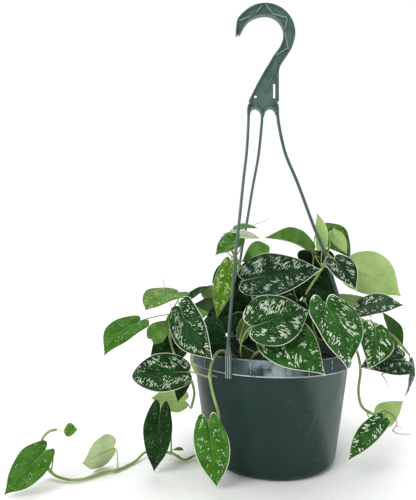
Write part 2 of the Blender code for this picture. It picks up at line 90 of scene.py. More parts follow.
# Hanger: hook, plate, three strands and the clips that grip the rim band
CLIP_ANGLES = (-124.5, -4.5, 115.5)
CLIP_WIDTH = 7.0
CLIP_INNER = 82.95
CLIP_OUTER = 85.2
CLIP_FOOT = 95.8
CLIP_LIP = 2.6
CLIP_LIP_REACH = (WALL_TOP_RADIUS + 0.8, CLIP_INNER + 1)
CLIP_HEIGHTS = (CLIP_FOOT, CLIP_FOOT + 0.3, 98, 104, 110, 115, 118, 120.5, 123, 126, 129)
CLIP_SHOULDER = (116, 129)
CLIP_RIDGE = 0.5
CLIP_NECK = 1.2
CLIP_ROUNDING = 1.2
STRAND_RADIUS = 1.6
STRAND_STARTS = (-22.0, 8.2, -7.2)
STRAND_END = 84.2
HOOK_DEPTH = 2.7
YOKE_DEPTH = 3.1
RIB_DEPTH = 2.4
RIB_THICK = 1.0
PLATE_RIB_DEPTH = 1.5
PLATE_RIB_THICK = 1.6
WEB = 0.8
FLANGE = 1.5
THROUGH = 9.0
SLOT_X = 5.2
SLOT_ENDS = (379.6, 393.4)
SLOT_RADIUS = 1.2
HOLE = (-14.9, 380.4)
HOLE_RADIUS = 1.6
# How strongly the hook's ribs and the plate's rib take the hanger's painted highlight
RIB_HIGHLIGHT = 0.65
PLATE_RIB_HIGHLIGHT = 0.4875
EDGE_ANGLE = math.radians(40)

# The web and the edge strips of the yoke, in the hook's plane
YOKE_WEB = (
    (-19.6, 377.5), (-19.6, 373.4), (-22.6, 370.2), (-22.8, 366.0), (-20.6, 366.0), (-18.6, 368.2),
    (-15.2, 369.2), (-11.8, 368.2), (-8.6, 364.4), (-5.6, 364.4), (-2.6, 368.2), (0.6, 369.2),
    (3.8, 368.2), (6.6, 366.0), (8.8, 366.0), (8.8, 370.2), (6.2, 373.4), (6.2, 377.5),
)
YOKE_EDGES = (
    (
        (-21.2, 362.0), (-20.6, 365.0), (-18.6, 367.6), (-15.2, 368.7), (-11.8, 367.6), (-9.2, 364.6),
        (-8.0, 360.0),
    ),
    (
        (-6.2, 360.0), (-5.2, 364.6), (-2.6, 367.6), (0.8, 368.7), (4.2, 367.6), (6.6, 365.0), (7.6, 362.0),
    ),
    ((-19.6, 377.5), (-19.9, 373.6), (-22.3, 370.8), (-23.0, 366.5), (-22.6, 360.0)),
    ((6.2, 377.5), (6.5, 373.6), (8.6, 370.8), (9.2, 366.5), (9.3, 361.0)),
)

# The hook's inner and outer edge, given as (x, z) pairs: its tip, the arc about its centre as
# (degrees, inner radius), and the neck that widens into the plate
HOOK_CENTRE = (-4.6, 447.8)
HOOK_OUTER = 32.1
HOOK_TIP = (
    ((-31.2, 447.0), (-36.2, 446.0)),
    ((-27.2, 455.0), (-35.6, 456.0)),
    ((-22.8, 460.7), (-33.6, 463.6)),
)
HOOK_ARC = (
    (132, 21.2), (112, 19.9), (90, 19.6), (68, 19.6),
    (46, 19.6), (24, 19.6), (2, 19.6), (-20, 20.0),
)
HOOK_NECK = (
    ((10.4, 432.0), (20.8, 427.6)),
    ((4.6, 424.2), (15.6, 420.0)),
    ((-0.8, 415.0), (11.4, 412.6)),
    ((-6.0, 406.6), (10.0, 405.0)),
    ((-13.0, 394.0), (10.0, 394.0)),
    ((-22.2, 375.5), (10.0, 375.5)),
)

# Ribs across the hook's web, from (x, z) to (x, z)
HOOK_RIBS = (
    ((-32.5, 461.0), (-19.5, 466.0)),
    ((-13.5, 470.0), (-8.5, 477.0)),
    ((-4.0, 478.5), (3.5, 468.0)),
    ((3.5, 468.0), (18.5, 464.5)),
    ((15.8, 449.0), (19.0, 464.0)),
    ((16.5, 448.5), (20.0, 431.0)),
    ((19.5, 431.5), (6.5, 424.5)),
)
PLATE_RIB = ((8.2, 413.0), (-4.2, 386.0))

# How far each strand has gone towards its clip (0 to 1) at each height
STRAND_FALL = (
    (370.0, 0.0), (349.0, 0.03), (319.0, 0.12), (287.0, 0.29), (243.0, 0.50), (215.0, 0.65), (175.0, 0.81),
    (148.0, 0.92), (128.0, 0.985), (116.5, 1.0),
)

# Plant: BLADE_HALF is half the leaf's thickness, THIN_EDGE how wide its edge thins out; LOBE, ARCH,
# RIPPLE and BOW are shares of the blade's length or width
STEM_RADIUS = 1.5
STEM_STEPS = 2
STEM_FINE = 10
STEM_SUNK = 2.5
JOINT_SPREAD = 2.0
PETIOLE = 1.1
MIDRIB_BELOW = 0.4
MIDRIB_SPAN = (0.03, 0.78)
BLADE_HALF = 0.34
THIN_EDGE = 1.2
GROOVE = 0.25
LOBE = 0.17
ARCH = 0.09
FOLD = 0.16
FOLD_SOFTNESS = 1.5
RIPPLE = 0.02
BOW = 0.05

# Every stem's route from the potting mix outwards, chosen point by point
STEMS = {
    "front_left": (
        (-30, -40, 100.4), (-42, -52, 113), (-55, -62, 119), (-62, -68, 110), (-64, -72, 98),
        (-61, -75, 82), (-56, -72, 61), (-60, -58, 36), (-69, -38, 13), (-79, -18, 4.2),
        (-90, -24, 2.2), (-104, -14, 4.8), (-129, -12, 5.4), (-139, -27, 2.0), (-152, -45, 2.0),
        (-162, -49, 2.2), (-182, -64, 2.0), (-199, -63, 2.6), (-213, -56, 6), (-220, -55, 20),
        (-219, -60, 36), (-211, -65, 46), (-203, -66, 48.5),
    ),
    "left": (
        (-28, -8, 100.4), (-50, -14, 126), (-78, -20, 146), (-101, -22, 148), (-104, -26, 137),
        (-103, -28, 122), (-96, -36, 106), (-84, -43, 92), (-79, -44, 76), (-82, -40, 60),
    ),
    "crown": (
        (-12, -14, 100.4), (-14, -18, 130), (-20, -22, 165), (-32, -25, 196), (-45, -21, 221),
    ),
    "front": (
        (-26, -54, 100.4), (-25, -61, 112), (-17, -66, 121), (-6, -66, 125),
    ),
    "upper_right": (
        (14, 6, 100.4), (26, 10, 140), (46, 10, 176), (60, 8, 200), (68, 12, 222),
    ),
    "right": (
        (34, -14, 100.4), (49, -22, 122), (65, -31, 129), (78, -37, 119), (83, -39, 98),
        (80, -42, 77), (84, -42, 61), (97, -42, 53),
    ),
    "side": (
        (42, 8, 100.4), (72, 12, 132), (104, 4, 140), (126, -8, 128), (140, -20, 108),
    ),
    "back_left": (
        (-20, 20, 100.4), (-34, 42, 130), (-50, 64, 141), (-62, 82, 126), (-66, 90, 100), (-64, 91, 82),
    ),
    "back_right": (
        (16, 24, 100.4), (28, 46, 132), (44, 68, 142), (55, 86, 126), (59, 93, 100), (58, 93, 84),
    ),
}

# Every leaf: the stem it grows from and where along it (counted in that stem's points), the point
# where petiole and blade meet, the tip, the way the upper side faces, the blade's width, and the looks
# of its upper and under side.
LEAVES = {
    "front_heart": (
        "right", 1.2, (38, -80, 161), (48, -104, 110), (0.3, -0.8, 0.5), 50, "green_white", "soft",
    ),
    "front_silver": (
        "front", 2.8, (-10, -73, 136), (33, -96, 104), (-0.1, -0.8, 0.6), 48, "green_white", "soft",
    ),
    "front_small_heart": (
        "front", 0.6, (-25, -80, 144), (26, -72, 157), (-0.1, -0.85, 0.5), 50, "dark_white", "soft",
    ),
    "front_curled": (
        "front", 1.4, (-36, -62, 132), (-31, -64, 155), (0.7, 0.6, 0.3), 15, "shaded_plain", "olive",
    ),
    "crown_silver": (
        "crown", 2.3, (-29, -42, 184), (43, -52, 194), (-0.05, -0.8, 0.6), 50, "dark_silver", "grey",
    ),
    "crown_plain": (
        "crown", 3.2, (-4, -14, 212), (-32, -20, 203), (-0.1, -0.9, 0.5), 34, "light_plain", "soft",
    ),
    # crown_pale is painted near white on both sides, a painted highlight for the glare off this upturned leaf
    "crown_pale": ("crown", 3.5, (-45, -9, 230), (-8, 4, 228), (0.05, 0.3, 0.95), 26, "faded", "faded"),
    "crown_top": ("crown", 4, (-37, -20, 237), (-15, -26, 236), (0, -0.45, 0.9), 18, "mid_speckled", "soft"),
    "hanging": ("crown", 3, (-44, -38, 201), (-57, -42, 147), (-0.1, -1, 0.1), 20, "speckled", "soft"),
    "hanging_back": (
        "crown", 3.5, (-35.5, -28, 225), (-59, -34, 208), (-0.3, -0.8, 0.5), 24, "mid_speckled", "soft",
    ),
    "flat_crown": ("upper_right", 2.5, (45, 13, 217), (-5, 4, 230), (0, -0.6, 0.8), 38, "plain", "soft"),
    "upright": ("upper_right", 3, (57, 5, 218), (52, 4, 258), (0.6, 0.75, 0.2), 15, "plain", "pale"),
    "round_crown": (
        "upper_right", 3, (70, 38, 241), (98, 30, 208), (0.3, -0.85, 0.45), 43, "mid_speckled", "soft",
    ),
    "folded": ("upper_right", 4, (74, 17, 236), (86, 8, 212), (0.4, 0.85, 0.3), 15, "plain", "pale"),
    "striped": (
        "upper_right", 3.5, (64, -21, 204), (79, -41, 173), (0.1, -0.75, 0.65), 32, "dark_silver", "grey",
    ),
    "big_pale": (
        "upper_right", 3, (91, 12, 198), (141, -2, 166), (0.2, 0.85, 0.5), 52, "green_white", "pale",
    ),
    "right_pointed": (
        "side", 1.8, (85, -26, 154), (121, -52, 160), (0, -0.75, 0.65), 29, "grey_white", "grey",
    ),
    "right_hanging": (
        "right", 2.2, (90, -56, 139), (77, -72, 103), (0.3, -0.85, 0.45), 36, "green_white", "grey",
    ),
    "right_silver": (
        "side", 3.7, (126, -32, 105), (75, -53, 101), (0.1, -0.8, 0.6), 36, "dark_silver", "grey",
    ),
    "right_plain": ("side", 2.5, (140, 8, 116), (125, 12, 150), (0.5, -0.8, 0.1), 26, "shaded_plain", "soft"),
    "right_edge": ("side", 4, (141, -18, 100), (133, -22, 63), (0.8, -0.55, 0.1), 30, "dark_silver", "grey"),
    "low_right": ("right", 7, (100, -50, 52), (61, -64, 17), (-0.3, -0.75, 0.6), 19, "green_white", "soft"),
    "low_right_pale": ("right", 6.5, (105, -34, 47), (132, -26, 63), (0.2, 0.9, 0), 24, "plain", "pale"),
    "left_heart": (
        "left", 3, (-137, -15, 140), (-166, -44, 110), (-0.25, -0.75, 0.65), 36, "few_dots", "soft",
    ),
    "left_upper": (
        "left", 2.9, (-96, -27, 171), (-124, -60, 156), (-0.3, -0.6, 0.7), 42, "pale_speckled", "soft",
    ),
    "left_plain": ("left", 4.6, (-119, -40, 128), (-104, -38, 146), (-0.3, -0.9, 0.2), 22, "plain", "soft"),
    "left_big": (
        "left", 2.5, (-91, -58, 159), (-61, -89, 116), (-0.65, -0.65, 0.4), 36, "fine_white", "grey",
    ),
    "left_thin": ("left", 2.2, (-86, -6, 165), (-60, 2, 178), (-0.2, -0.6, 0.8), 12, "deep_plain", "soft"),
    "left_back": ("left", 1, (-38, 10, 150), (-85, 0, 157), (0, -0.6, 0.8), 34, "shaded_plain", "soft"),
    "left_inner": (
        "left", 1.9, (-68, -34, 140), (-46, -44, 122), (-0.3, -0.8, 0.6), 26, "deep_plain", "soft",
    ),
    "low_pale": ("left", 9, (-91, -28, 63), (-124, -28, 66), (0, 0.95, 0.3), 33, "plain", "pale"),
    "rim": ("front_left", 4, (-84, -68, 101), (-133, -76, 99), (-0.1, -0.85, 0.5), 36, "fine_white", "soft"),
    "bright_trailing": (
        "front_left", 6.7, (-65, -81, 57), (-58, -78, 1), (-0.1, -1, 0.1), 31, "bright_dots", "soft",
    ),
    "dark_trailing": (
        "front_left", 11, (-112, -40, 56), (-117, -49, 1), (-0.3, -0.95, 0.2), 30, "deep_plain", "soft",
    ),
    "bud": (
        "front_left", 10.5, (-101, -20, 11), (-90, -27, 13), (0.3, -0.3, 0.9), 8, "pale_speckled", "pale",
    ),
    "standing": (
        "front_left", 14.2, (-160, -38, 19), (-182, -62, 15), (-0.7, 0.66, 0.25), 37, "green_white", "chalky",
    ),
    "far": ("front_left", 18, (-213, -72, 29.5), (-239, -91, 1.5), (-0.2, -0.8, 0.5), 34, "few_dots", "soft"),
    "new": (
        "front_left", 22, (-196, -68, 48), (-182.5, -71, 50), (0.1, -0.9, 0.4), 12, "pale_speckled", "pale",
    ),
    "back_left_side": (
        "back_left", 1, (-78, 32, 152), (-120, 50, 122), (-0.4, 0.3, 0.85), 42, "dark_silver", "soft",
    ),
    "back_left_rim": (
        "back_left", 2.4, (-74, 84, 146), (-98, 112, 112), (-0.4, 0.6, 0.7), 44, "green_white", "soft",
    ),
    "back_upper": (
        "back_left", 1.5, (-54, 76, 172), (-60, 116, 142), (-0.1, 0.6, 0.8), 42, "dark_white", "soft",
    ),
    "back_left_low": (
        "back_left", 4.4, (-70, 104, 92), (-78, 116, 46), (-0.4, 0.9, 0.2), 36, "green_white", "pale",
    ),
    "back_crown": ("back_left", 0.5, (7, 25, 162), (52, 25, 181), (0, -0.9, 0.4), 40, "shaded", "soft"),
    "back_middle": (
        "back_right", 1.5, (8, 84, 162), (4, 122, 126), (0, 0.6, 0.75), 46, "dark_silver", "soft",
    ),
    "back_right_rim": (
        "back_right", 2.5, (68, 76, 156), (98, 102, 124), (0.3, 0.5, 0.8), 44, "green_white", "soft",
    ),
    "back_right_low": (
        "back_right", 4.4, (66, 106, 96), (78, 118, 48), (0.4, 0.9, 0.2), 38, "dark_white", "soft",
    ),
    "back_right_side": (
        "back_right", 1, (88, 38, 162), (132, 54, 138), (0.3, 0.3, 0.9), 42, "green_white", "soft",
    ),
    "back_top": ("back_right", 0.5, (40, 30, 205), (80, 30, 173), (0.1, -0.9, 0.4), 46, "shaded", "soft"),
}

# Shaded leaves deep in the plant, that fill the gaps between the named ones, given as in LEAVES but
# all with the same looks
INNER = (
    ("left", 4.5, (-92, -22, 128), (-128, -20, 94), (-0.3, -0.9, 0.3), 38),
    ("left", 7.0, (-88, -38, 92), (-95, -44, 66), (-0.4, -0.9, 0.2), 18),
    ("crown", 1.3, (-38, -20, 150), (-72, -16, 130), (-0.2, -0.9, 0.4), 36),
    ("crown", 0.8, (-6, -6, 146), (-30, 2, 112), (-0.1, -0.9, 0.3), 38),
    ("crown", 2.6, (-44, -12, 196), (-62, -8, 180), (-0.3, -0.9, 0.3), 18),
    ("crown", 1.6, (-22, -4, 188), (-42, 0, 148), (-0.1, -0.95, 0.2), 32),
    ("crown", 1.2, (-22, 4, 164), (-38, 4, 122), (-0.1, -0.95, 0.2), 36),
    ("upper_right", 2.7, (60, 24, 210), (84, 26, 196), (0.1, -0.9, 0.4), 26),
    ("upper_right", 1.0, (20, 0, 168), (-14, 6, 150), (-0.1, -0.9, 0.4), 36),
    ("upper_right", 1.4, (40, 0, 158), (62, -4, 116), (0.1, -0.95, 0.2), 42),
    ("upper_right", 1.6, (38, 20, 186), (80, 18, 160), (0.1, -0.9, 0.3), 42),
    ("upper_right", 1.0, (34, 22, 150), (4, 28, 118), (0.0, -0.95, 0.3), 42),
)

# Dried aerial roots and stalks: the radius, then the points they run through
ROOTS = (
    (0.35, ((-101, -24, 148), (-104, -29, 162), (-107.5, -37, 175), (-109.6, -41, 186))),
    (0.3, ((-19, -25, 237), (-17, -26, 241), (-11.6, -28, 242.4), (-3.9, -30, 246.1))),
    (0.3, ((-128, -22, 137), (-125.5, -32, 146), (-122, -48, 154), (-121, -55, 157))),
    (0.55, ((106.9, -31, 90.5), (116, -28, 93), (124, -24, 96), (132, -20, 102))),
    (0.55, ((107.2, -31, 90.3), (110, -32, 86), (112.1, -34, 79.6))),
    (0.7, ((137, -19, 104), (131, -21, 97), (128.6, -24, 86))),
    (0.6, ((97, -42, 53), (108, -34, 55), (118, -30, 50), (122.5, -30.5, 42), (117, -33.5, 35.4))),
    (0.5, ((117, -33.5, 35.4), (121, -36, 33.4), (132, -39.5, 33.7))),
    (0.4, ((116.5, -33.6, 35), (121.4, -31, 38.5), (127.8, -29, 36.8))),
    (0.9, ((-63.5, -73.5, 99), (-60, -76, 99.4), (-57.5, -77.5, 98.4))),
)

# How some blades differ from the common heart shape
SHAPES = {
    "front_heart": {"lobe": 0.2, "bow": -0.03},
    "front_silver": {"lobe": 0.12, "widest": 0.24},
    "front_small_heart": {"lobe": 0.14, "widest": 0.28},
    "crown_silver": {"lobe": 0.1, "widest": 0.3, "bow": 0.05},
    "big_pale": {"lobe": 0.12, "widest": 0.26, "bow": 0.04},
    "hanging": {"lobe": 0.1, "widest": 0.34, "drip": 0.3},
    "flat_crown": {"fold": 0.55, "drip": 0.2},
    "rim": {"lobe": 0.07, "widest": 0.42, "waist": 0.4, "blunt": 0.55, "drip": 0.05, "bow": 0.0},
    "left_heart": {"lobe": 0.14, "widest": 0.3, "bow": 0.14},
    "left_upper": {"lobe": 0.12, "widest": 0.36, "blunt": 0.7, "bow": 0.05},
    "left_big": {"lobe": 0.1, "widest": 0.35, "blunt": 0.8, "bow": 0.06},
    "bright_trailing": {"lobe": 0.22, "widest": 0.24},
    "dark_trailing": {"lobe": 0.2, "widest": 0.28, "bow": -0.06},
    "far": {"lobe": 0.2, "widest": 0.24, "bow": -0.05},
    "right_pointed": {"lobe": 0.1, "widest": 0.32},
    "low_right": {"lobe": 0.1, "widest": 0.34, "bow": 0.05},
    "new": {"lobe": 0.0, "widest": 0.45, "waist": 0.9, "drip": 0.2},
    "bud": {"lobe": 0.0, "widest": 0.45, "waist": 0.9, "drip": 0.2},
    "upright": {"lobe": 0.06, "widest": 0.35},
}


def unit(vectors):
    """The same directions at length one."""
    vectors = np.asarray(vectors, float)
    return vectors / np.linalg.norm(vectors, axis=-1, keepdims=True)


def ease(low, high, value):
    """0 below low, 1 above high, and a smooth step between them."""
    t = np.clip((value - low) / (high - low), 0, 1)
    return t * t * (3 - 2 * t)


def distances(route):
    """How far along a route each of its points lies."""
    return np.concatenate([[0], np.cumsum(np.linalg.norm(np.diff(route, axis=0), axis=1))])


def grid_faces(rows, columns, closed=False):
    """Quads between neighbours of a grid; a closed grid also joins its last column to its first."""
    index = np.arange(rows * columns).reshape(rows, columns)
    if closed:
        index = np.hstack([index, index[:, :1]])
    return np.stack([index[:-1, :-1], index[:-1, 1:], index[1:, 1:], index[1:, :-1]], -1).reshape(-1, 4)


def bar_faces(rows, sides):
    """Quads round a bar of so many rows, and one face on each of its ends."""
    index = np.arange(sides)
    return [grid_faces(rows, sides, True), index[::-1], index + (rows - 1) * sides]


class Shape:
    """Points, faces, and what each face and point carries, gathered into one mesh at the end."""

    def __init__(self):
        self.points = np.zeros((0, 3))
        self.faces = []
        self.finish = []
        self.carried = {}

    def add(self, points, faces, finish=0, **carried):
        """Adds a closed form, with one finish or one for each group of faces; carried values are one
        row of three for each point."""
        points = np.asarray(points, float).reshape(-1, 3)
        before = len(self.points)
        for name in {**self.carried, **carried}:
            old = self.carried.get(name, np.zeros((before, 3)))
            new = carried.get(name, np.zeros((len(points), 3)))
            self.carried[name] = np.vstack([old, np.broadcast_to(new, (len(points), 3))])
        self.points = np.vstack([self.points, points])
        for face, look in zip(faces, np.broadcast_to(finish, len(faces))):
            self.faces.append(np.atleast_2d(face) + before)
            self.finish.append(np.full(len(self.faces[-1]), look))
        return self

    def made(self, name, finishes, slot, stands_for=()):
        """The mesh object, riding on the root body, with the nodes it stands for; the slot it takes is not
        used.
        """
        corners = np.concatenate([face.ravel() for face in self.faces])
        sizes = np.concatenate([np.full(len(face), face.shape[1]) for face in self.faces])
        mesh = bpy.data.meshes.new(name)
        mesh.vertices.add(len(self.points))
        mesh.vertices.foreach_set("co", (self.points * MM).astype(np.float32).ravel())
        mesh.loops.add(len(corners))
        mesh.loops.foreach_set("vertex_index", corners.astype(np.int32))
        mesh.polygons.add(len(sizes))
        mesh.polygons.foreach_set("loop_start", (np.cumsum(sizes) - sizes).astype(np.int32))
        mesh.polygons.foreach_set("material_index", np.concatenate(self.finish).astype(np.int32))
        mesh.update(calc_edges=True)
        for key, values in self.carried.items():
            kept = mesh.attributes.new(key, "FLOAT_VECTOR", "POINT")
            kept.data.foreach_set("vector", values.astype(np.float32).ravel())
        mesh.shade_smooth()
        piece = bpy.data.objects.new(name, mesh)
        bpy.context.scene.collection.objects.link(piece)
        for finish in finishes:
            mesh.materials.append(finish)
        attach(piece, "root")
        if stands_for:
            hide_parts(*stands_for)
        return piece


def finished(piece, kind, **settings):
    """Applies one modifier and sharpens the edges, so that the piece keeps its plain final mesh."""
    step = piece.modifiers.new(kind.lower(), kind)
    for key, value in settings.items():
        setattr(step, key, value)
    shaped = piece.evaluated_get(bpy.context.evaluated_depsgraph_get())
    mesh = bpy.data.meshes.new_from_object(shaped)
    piece.modifiers.clear()
    piece.data = mesh
    mesh.shade_smooth()
    mesh.set_sharp_from_angle(angle=EDGE_ANGLE)
    return piece


def cut(piece, shape):
    """Takes a closed form out of a piece."""
    tool = shape.made("cutter", [], "pot_plastic")
    finished(piece, "BOOLEAN", object=tool, operation="DIFFERENCE", solver="EXACT")
    bpy.data.objects.remove(tool)
    return piece


def smooth_route(points, steps):
    """The curve of route_at through all the points, with so many steps to each span."""
    return route_at(points, np.arange((len(points) - 1) * steps + 1) / steps)


def route_at(points, at):
    """Points of a Catmull-Rom curve at positions counted in route points: with b and c the ends of a
    span and a and d the points beyond them, half of 2b + (c-a)t + (2a-5b+4c-d)t^2 + (3b-a-3c+d)t^3."""
    p = np.asarray(points, float)
    p = np.vstack([2 * p[0] - p[1], p, 2 * p[-1] - p[-2]])
    span = np.clip(np.asarray(at).astype(int), 0, len(p) - 4)
    t = (at - span)[:, None]
    a, b, c, d = (p[span + k] for k in range(4))
    return 0.5 * (2 * b + (c - a) * t + (2 * a - 5 * b + 4 * c - d) * t**2 + (3 * b - a - 3 * c + d) * t**3)


# Directions that a section may be measured from, spread evenly over a half sphere
TURNS = np.arange(40) * GOLDEN_TURN
HEIGHTS = 1 - (np.arange(40) + 0.5) / 40
WIDTHS = np.sqrt(1 - HEIGHTS**2)
COMPASS = np.stack([np.cos(TURNS) * WIDTHS, np.sin(TURNS) * WIDTHS, HEIGHTS], -1)


def tube(route, radius, sides, flat=1.0, reference=None, lobes=0.0):
    """A bar along a route: centre + radius (cos a across + flat sin a above). The radius may change
    along the route, and lobes makes it wave four times round. Across is measured from the reference,
    or from the direction that no part of the route runs close to. The points carry how far along
    they lie, their angle and their radius."""
    route = np.asarray(route, float)
    along = unit(np.gradient(route, axis=0))
    if reference is None:
        reference = COMPASS[np.argmin(np.abs(along @ COMPASS.T).max(axis=0))]
    side = unit(np.cross(along, reference))
    up = np.cross(along, side)
    a = 2 * np.pi * np.arange(sides) / sides
    radius = np.broadcast_to(radius, len(route))[:, None] * (1 + lobes * np.cos(4 * a))
    ring = np.cos(a)[:, None] * side[:, None] + flat * np.sin(a)[:, None] * up[:, None]
    points = route[:, None] + radius[..., None] * ring
    carried = np.stack(np.broadcast_arrays(distances(route)[:, None], a, radius), -1)
    return points.reshape(-1, 3), bar_faces(len(route), sides), carried.reshape(-1, 3)


def turned(radius, height, angles):
    """A closed form of (radius, height) rows turned about Z; the radius may differ from angle to
    angle. Both ends close in a middle point."""
    height = np.broadcast_to(height, radius.shape)
    points = np.stack([radius * np.cos(angles), radius * np.sin(angles), height], -1)
    rows, columns = radius.shape
    index = np.arange(columns)
    after = np.roll(index, -1)
    last = rows * columns
    caps = [
        np.stack([after, index, np.full(columns, last)], -1),
        np.stack([index + last - columns, after + last - columns, np.full(columns, last + 1)], -1),
    ]
    ends = [(0, 0, height[0, 0]), (0, 0, height[-1, 0])]
    return np.vstack([points.reshape(-1, 3), ends]), [grid_faces(rows, columns, True), *caps]


def swung(points, degrees):
    """Points turned about the pot's axis."""
    c, s = math.cos(math.radians(degrees)), math.sin(math.radians(degrees))
    return np.asarray(points, float) @ np.array([[c, s, 0], [-s, c, 0], [0, 0, 1]])


class Field:
    """A number or colour that changes over a surface. Fields and numbers are joined by the usual
    signs, each of which makes one node."""

    def __init__(self, nodes, socket):
        self.nodes = nodes
        self.socket = socket

    def __add__(self, other):
        return self.nodes.math("ADD", self, other)

    def __sub__(self, other):
        return self.nodes.math("SUBTRACT", self, other)

    def __rsub__(self, other):
        return self.nodes.math("SUBTRACT", other, self)

    def __mul__(self, other):
        return self.nodes.math("MULTIPLY", self, other)

    def __truediv__(self, other):
        return self.nodes.math("DIVIDE", self, other)

    def __pow__(self, other):
        return self.nodes.math("POWER", self, other)

    def __abs__(self):
        return self.nodes.math("ABSOLUTE", self)

    def step(self, low, high, start=0.0, end=1.0):
        """A smooth step from start, where this field is low, to end, where it is high."""
        made = self.nodes.add("MapRange", {"interpolation_type": "SMOOTHSTEP"}, Value=self)
        for key, number in (("From Min", low), ("From Max", high), ("To Min", start), ("To Max", end)):
            made.inputs[key].default_value = number
        return Field(self.nodes, made.outputs["Result"])


class Nodes:
    """A node tree and the ways in which nodes are added to it."""

    def __init__(self, tree):
        self.tree = tree

    def put(self, socket, value):
        """Links a socket to a field, or sets its number or colour."""
        if isinstance(value, Field):
            self.tree.links.new(value.socket, socket)
        elif isinstance(value, tuple) and len(value) == 3 and socket.type == "RGBA":
            socket.default_value = (*value, 1.0)
        else:
            socket.default_value = value

    def add(self, kind, settings=(), **inputs):
        """A node with its settings and inputs."""
        made = self.tree.nodes.new("ShaderNode" + kind)
        for key, value in dict(settings).items():
            setattr(made, key, value)
        for key, value in inputs.items():
            self.put(made.inputs[key.replace("_", " ")], value)
        return made

    def field(self, output, kind, settings=(), **inputs):
        """One output of a new node."""
        return Field(self, self.add(kind, settings, **inputs).outputs[output])

    def math(self, operation, *values):
        """One step of arithmetic."""
        made = self.add("Math", {"operation": operation})
        for socket, value in zip(made.inputs, values):
            self.put(socket, value)
        return Field(self, made.outputs[0])

    def parts(self, vector):
        """The three numbers of a vector."""
        return [Field(self, socket) for socket in self.add("SeparateXYZ", Vector=vector).outputs]


class Finish(Nodes):
    """A material made node by node around its one Principled shader."""

    def __init__(self, name, roughness, gloss):
        self.material = bpy.data.materials.new(name)
        self.material.use_nodes = True
        super().__init__(self.material.node_tree)
        self.shader = self.tree.nodes["Principled BSDF"]
        self.rough(roughness)
        self.put(self.shader.inputs["Specular IOR Level"], gloss)

    def blend(self, share, a, b):
        """Colour a where share is 0 and b where it is 1."""
        made = self.add("Mix", {"data_type": "RGBA"})
        for k, value in ((0, share), (6, a), (7, b)):
            self.put(made.inputs[k], value)
        return Field(self, made.outputs[2])

    def stretched(self, where, scale, rotation=(0, 0, 0)):
        """A place turned and scaled."""
        return self.field("Vector", "Mapping", Vector=where, Scale=scale, Rotation=rotation)

    def place(self):
        """Object coordinates in millimetres."""
        return self.stretched(self.field("Object", "TexCoord"), (1 / MM, 1 / MM, 1 / MM))

    def carried(self, name):
        """The three numbers that every point of the piece carries under a name."""
        return self.parts(self.field("Vector", "Attribute", {"attribute_name": name}))

    def spot(self, place):
        """x, y and z of a place, and its distance from the pot's axis."""
        x, y, z = self.parts(place)
        return x, y, z, self.math("SQRT", x * x + y * y)

    def vector(self, x, y, z):
        """A place made of three numbers."""
        return self.field("Vector", "CombineXYZ", X=x, Y=y, Z=z)

    def noise(self, where, scale, detail=2.0, rough=0.5, distort=0.0):
        """Soft random patches, 1 / scale apart."""
        inputs = {"Scale": scale, "Detail": detail, "Roughness": rough, "Distortion": distort}
        return self.field("Fac", "TexNoise", Vector=where, **inputs)

    def cells(self, where, scale):
        """The distance from the nearest of many scattered spots, 1 / scale apart."""
        return self.field("Distance", "TexVoronoi", Vector=where, Scale=scale)

    def colour(self, value):
        """Sets the colour."""
        self.put(self.shader.inputs["Base Color"], value)

    def rough(self, value):
        """Sets the roughness."""
        self.put(self.shader.inputs["Roughness"], value)

    def bump(self, height, distance, strength):
        """Relief from a height; distance is in millimetres."""
        relief = self.field("Normal", "Bump", Height=height, Distance=distance * MM, Strength=strength)
        self.put(self.shader.inputs["Normal"], relief)


HALF_COLUMNS = np.array((0, 0.03, 0.07, 0.13, 0.21, 0.3, 0.4, 0.5, 0.6, 0.7, 0.79, 0.87, 0.93, 0.97, 1.0))
COLUMNS = np.concatenate([-HALF_COLUMNS[:0:-1], HALF_COLUMNS])
EVEN = np.linspace(0, 1, 36)
ROWS = 0.995 * (0.5 * EVEN + 0.25 * (1 - np.cos(np.pi * EVEN)))
MIDDLE = len(COLUMNS) // 2


def blade(
    length, width, seed, widest=0.2, waist=0.22, lobe=LOBE, blunt=0.95, drip=0.5, bow=None, fold=FOLD
):
    """Across, ahead, above and distance from the edge, over u (-1 to 1 across) and t (0 to 1 ahead).

    The half width swells to its full size at widest and closes as a cosine raised to blunt + drip q^3,
    where q runs from widest to the tip. Rows near the base bend back into two round lobes beside the
    petiole. The blade arches along its length, is folded a little along its middle (less towards the
    tip, unless it has a fold of its own), ripples along its edge, and its middle line bows sideways as
    half a sine wave.
    """
    u, t = np.meshgrid(COLUMNS, ROWS)
    q = np.clip((t - widest) / (1 - widest), 0, 1)
    swell = 1 - waist * ((widest - t) / widest) ** 2
    half = np.where(t < widest, swell, np.cos(q * np.pi / 2) ** (blunt + drip * q**3)) * width / 2
    side = np.abs(u)
    bow = BOW * math.sin(5.1 * seed) if bow is None else bow
    across = u * half
    ahead = length * (t - lobe * (1 - t) ** 2 * np.sin(np.pi * side**0.85) ** 0.8)
    rise = fold * (np.sqrt(across**2 + FOLD_SOFTNESS**2) - FOLD_SOFTNESS) * (1 - t * (fold == FOLD))
    ripple = np.sin(2 * np.pi * (1.6 * t + 0.37 * seed) + np.where(u > 0, 2.1, 0)) * np.sin(np.pi * t)
    above = ARCH * length * 4 * t * (1 - t) + rise + RIPPLE * width * side**3 * ripple
    edge = np.minimum((1 - side) * half, t * length)
    return across + bow * width * np.sin(np.pi * t), ahead, above, edge


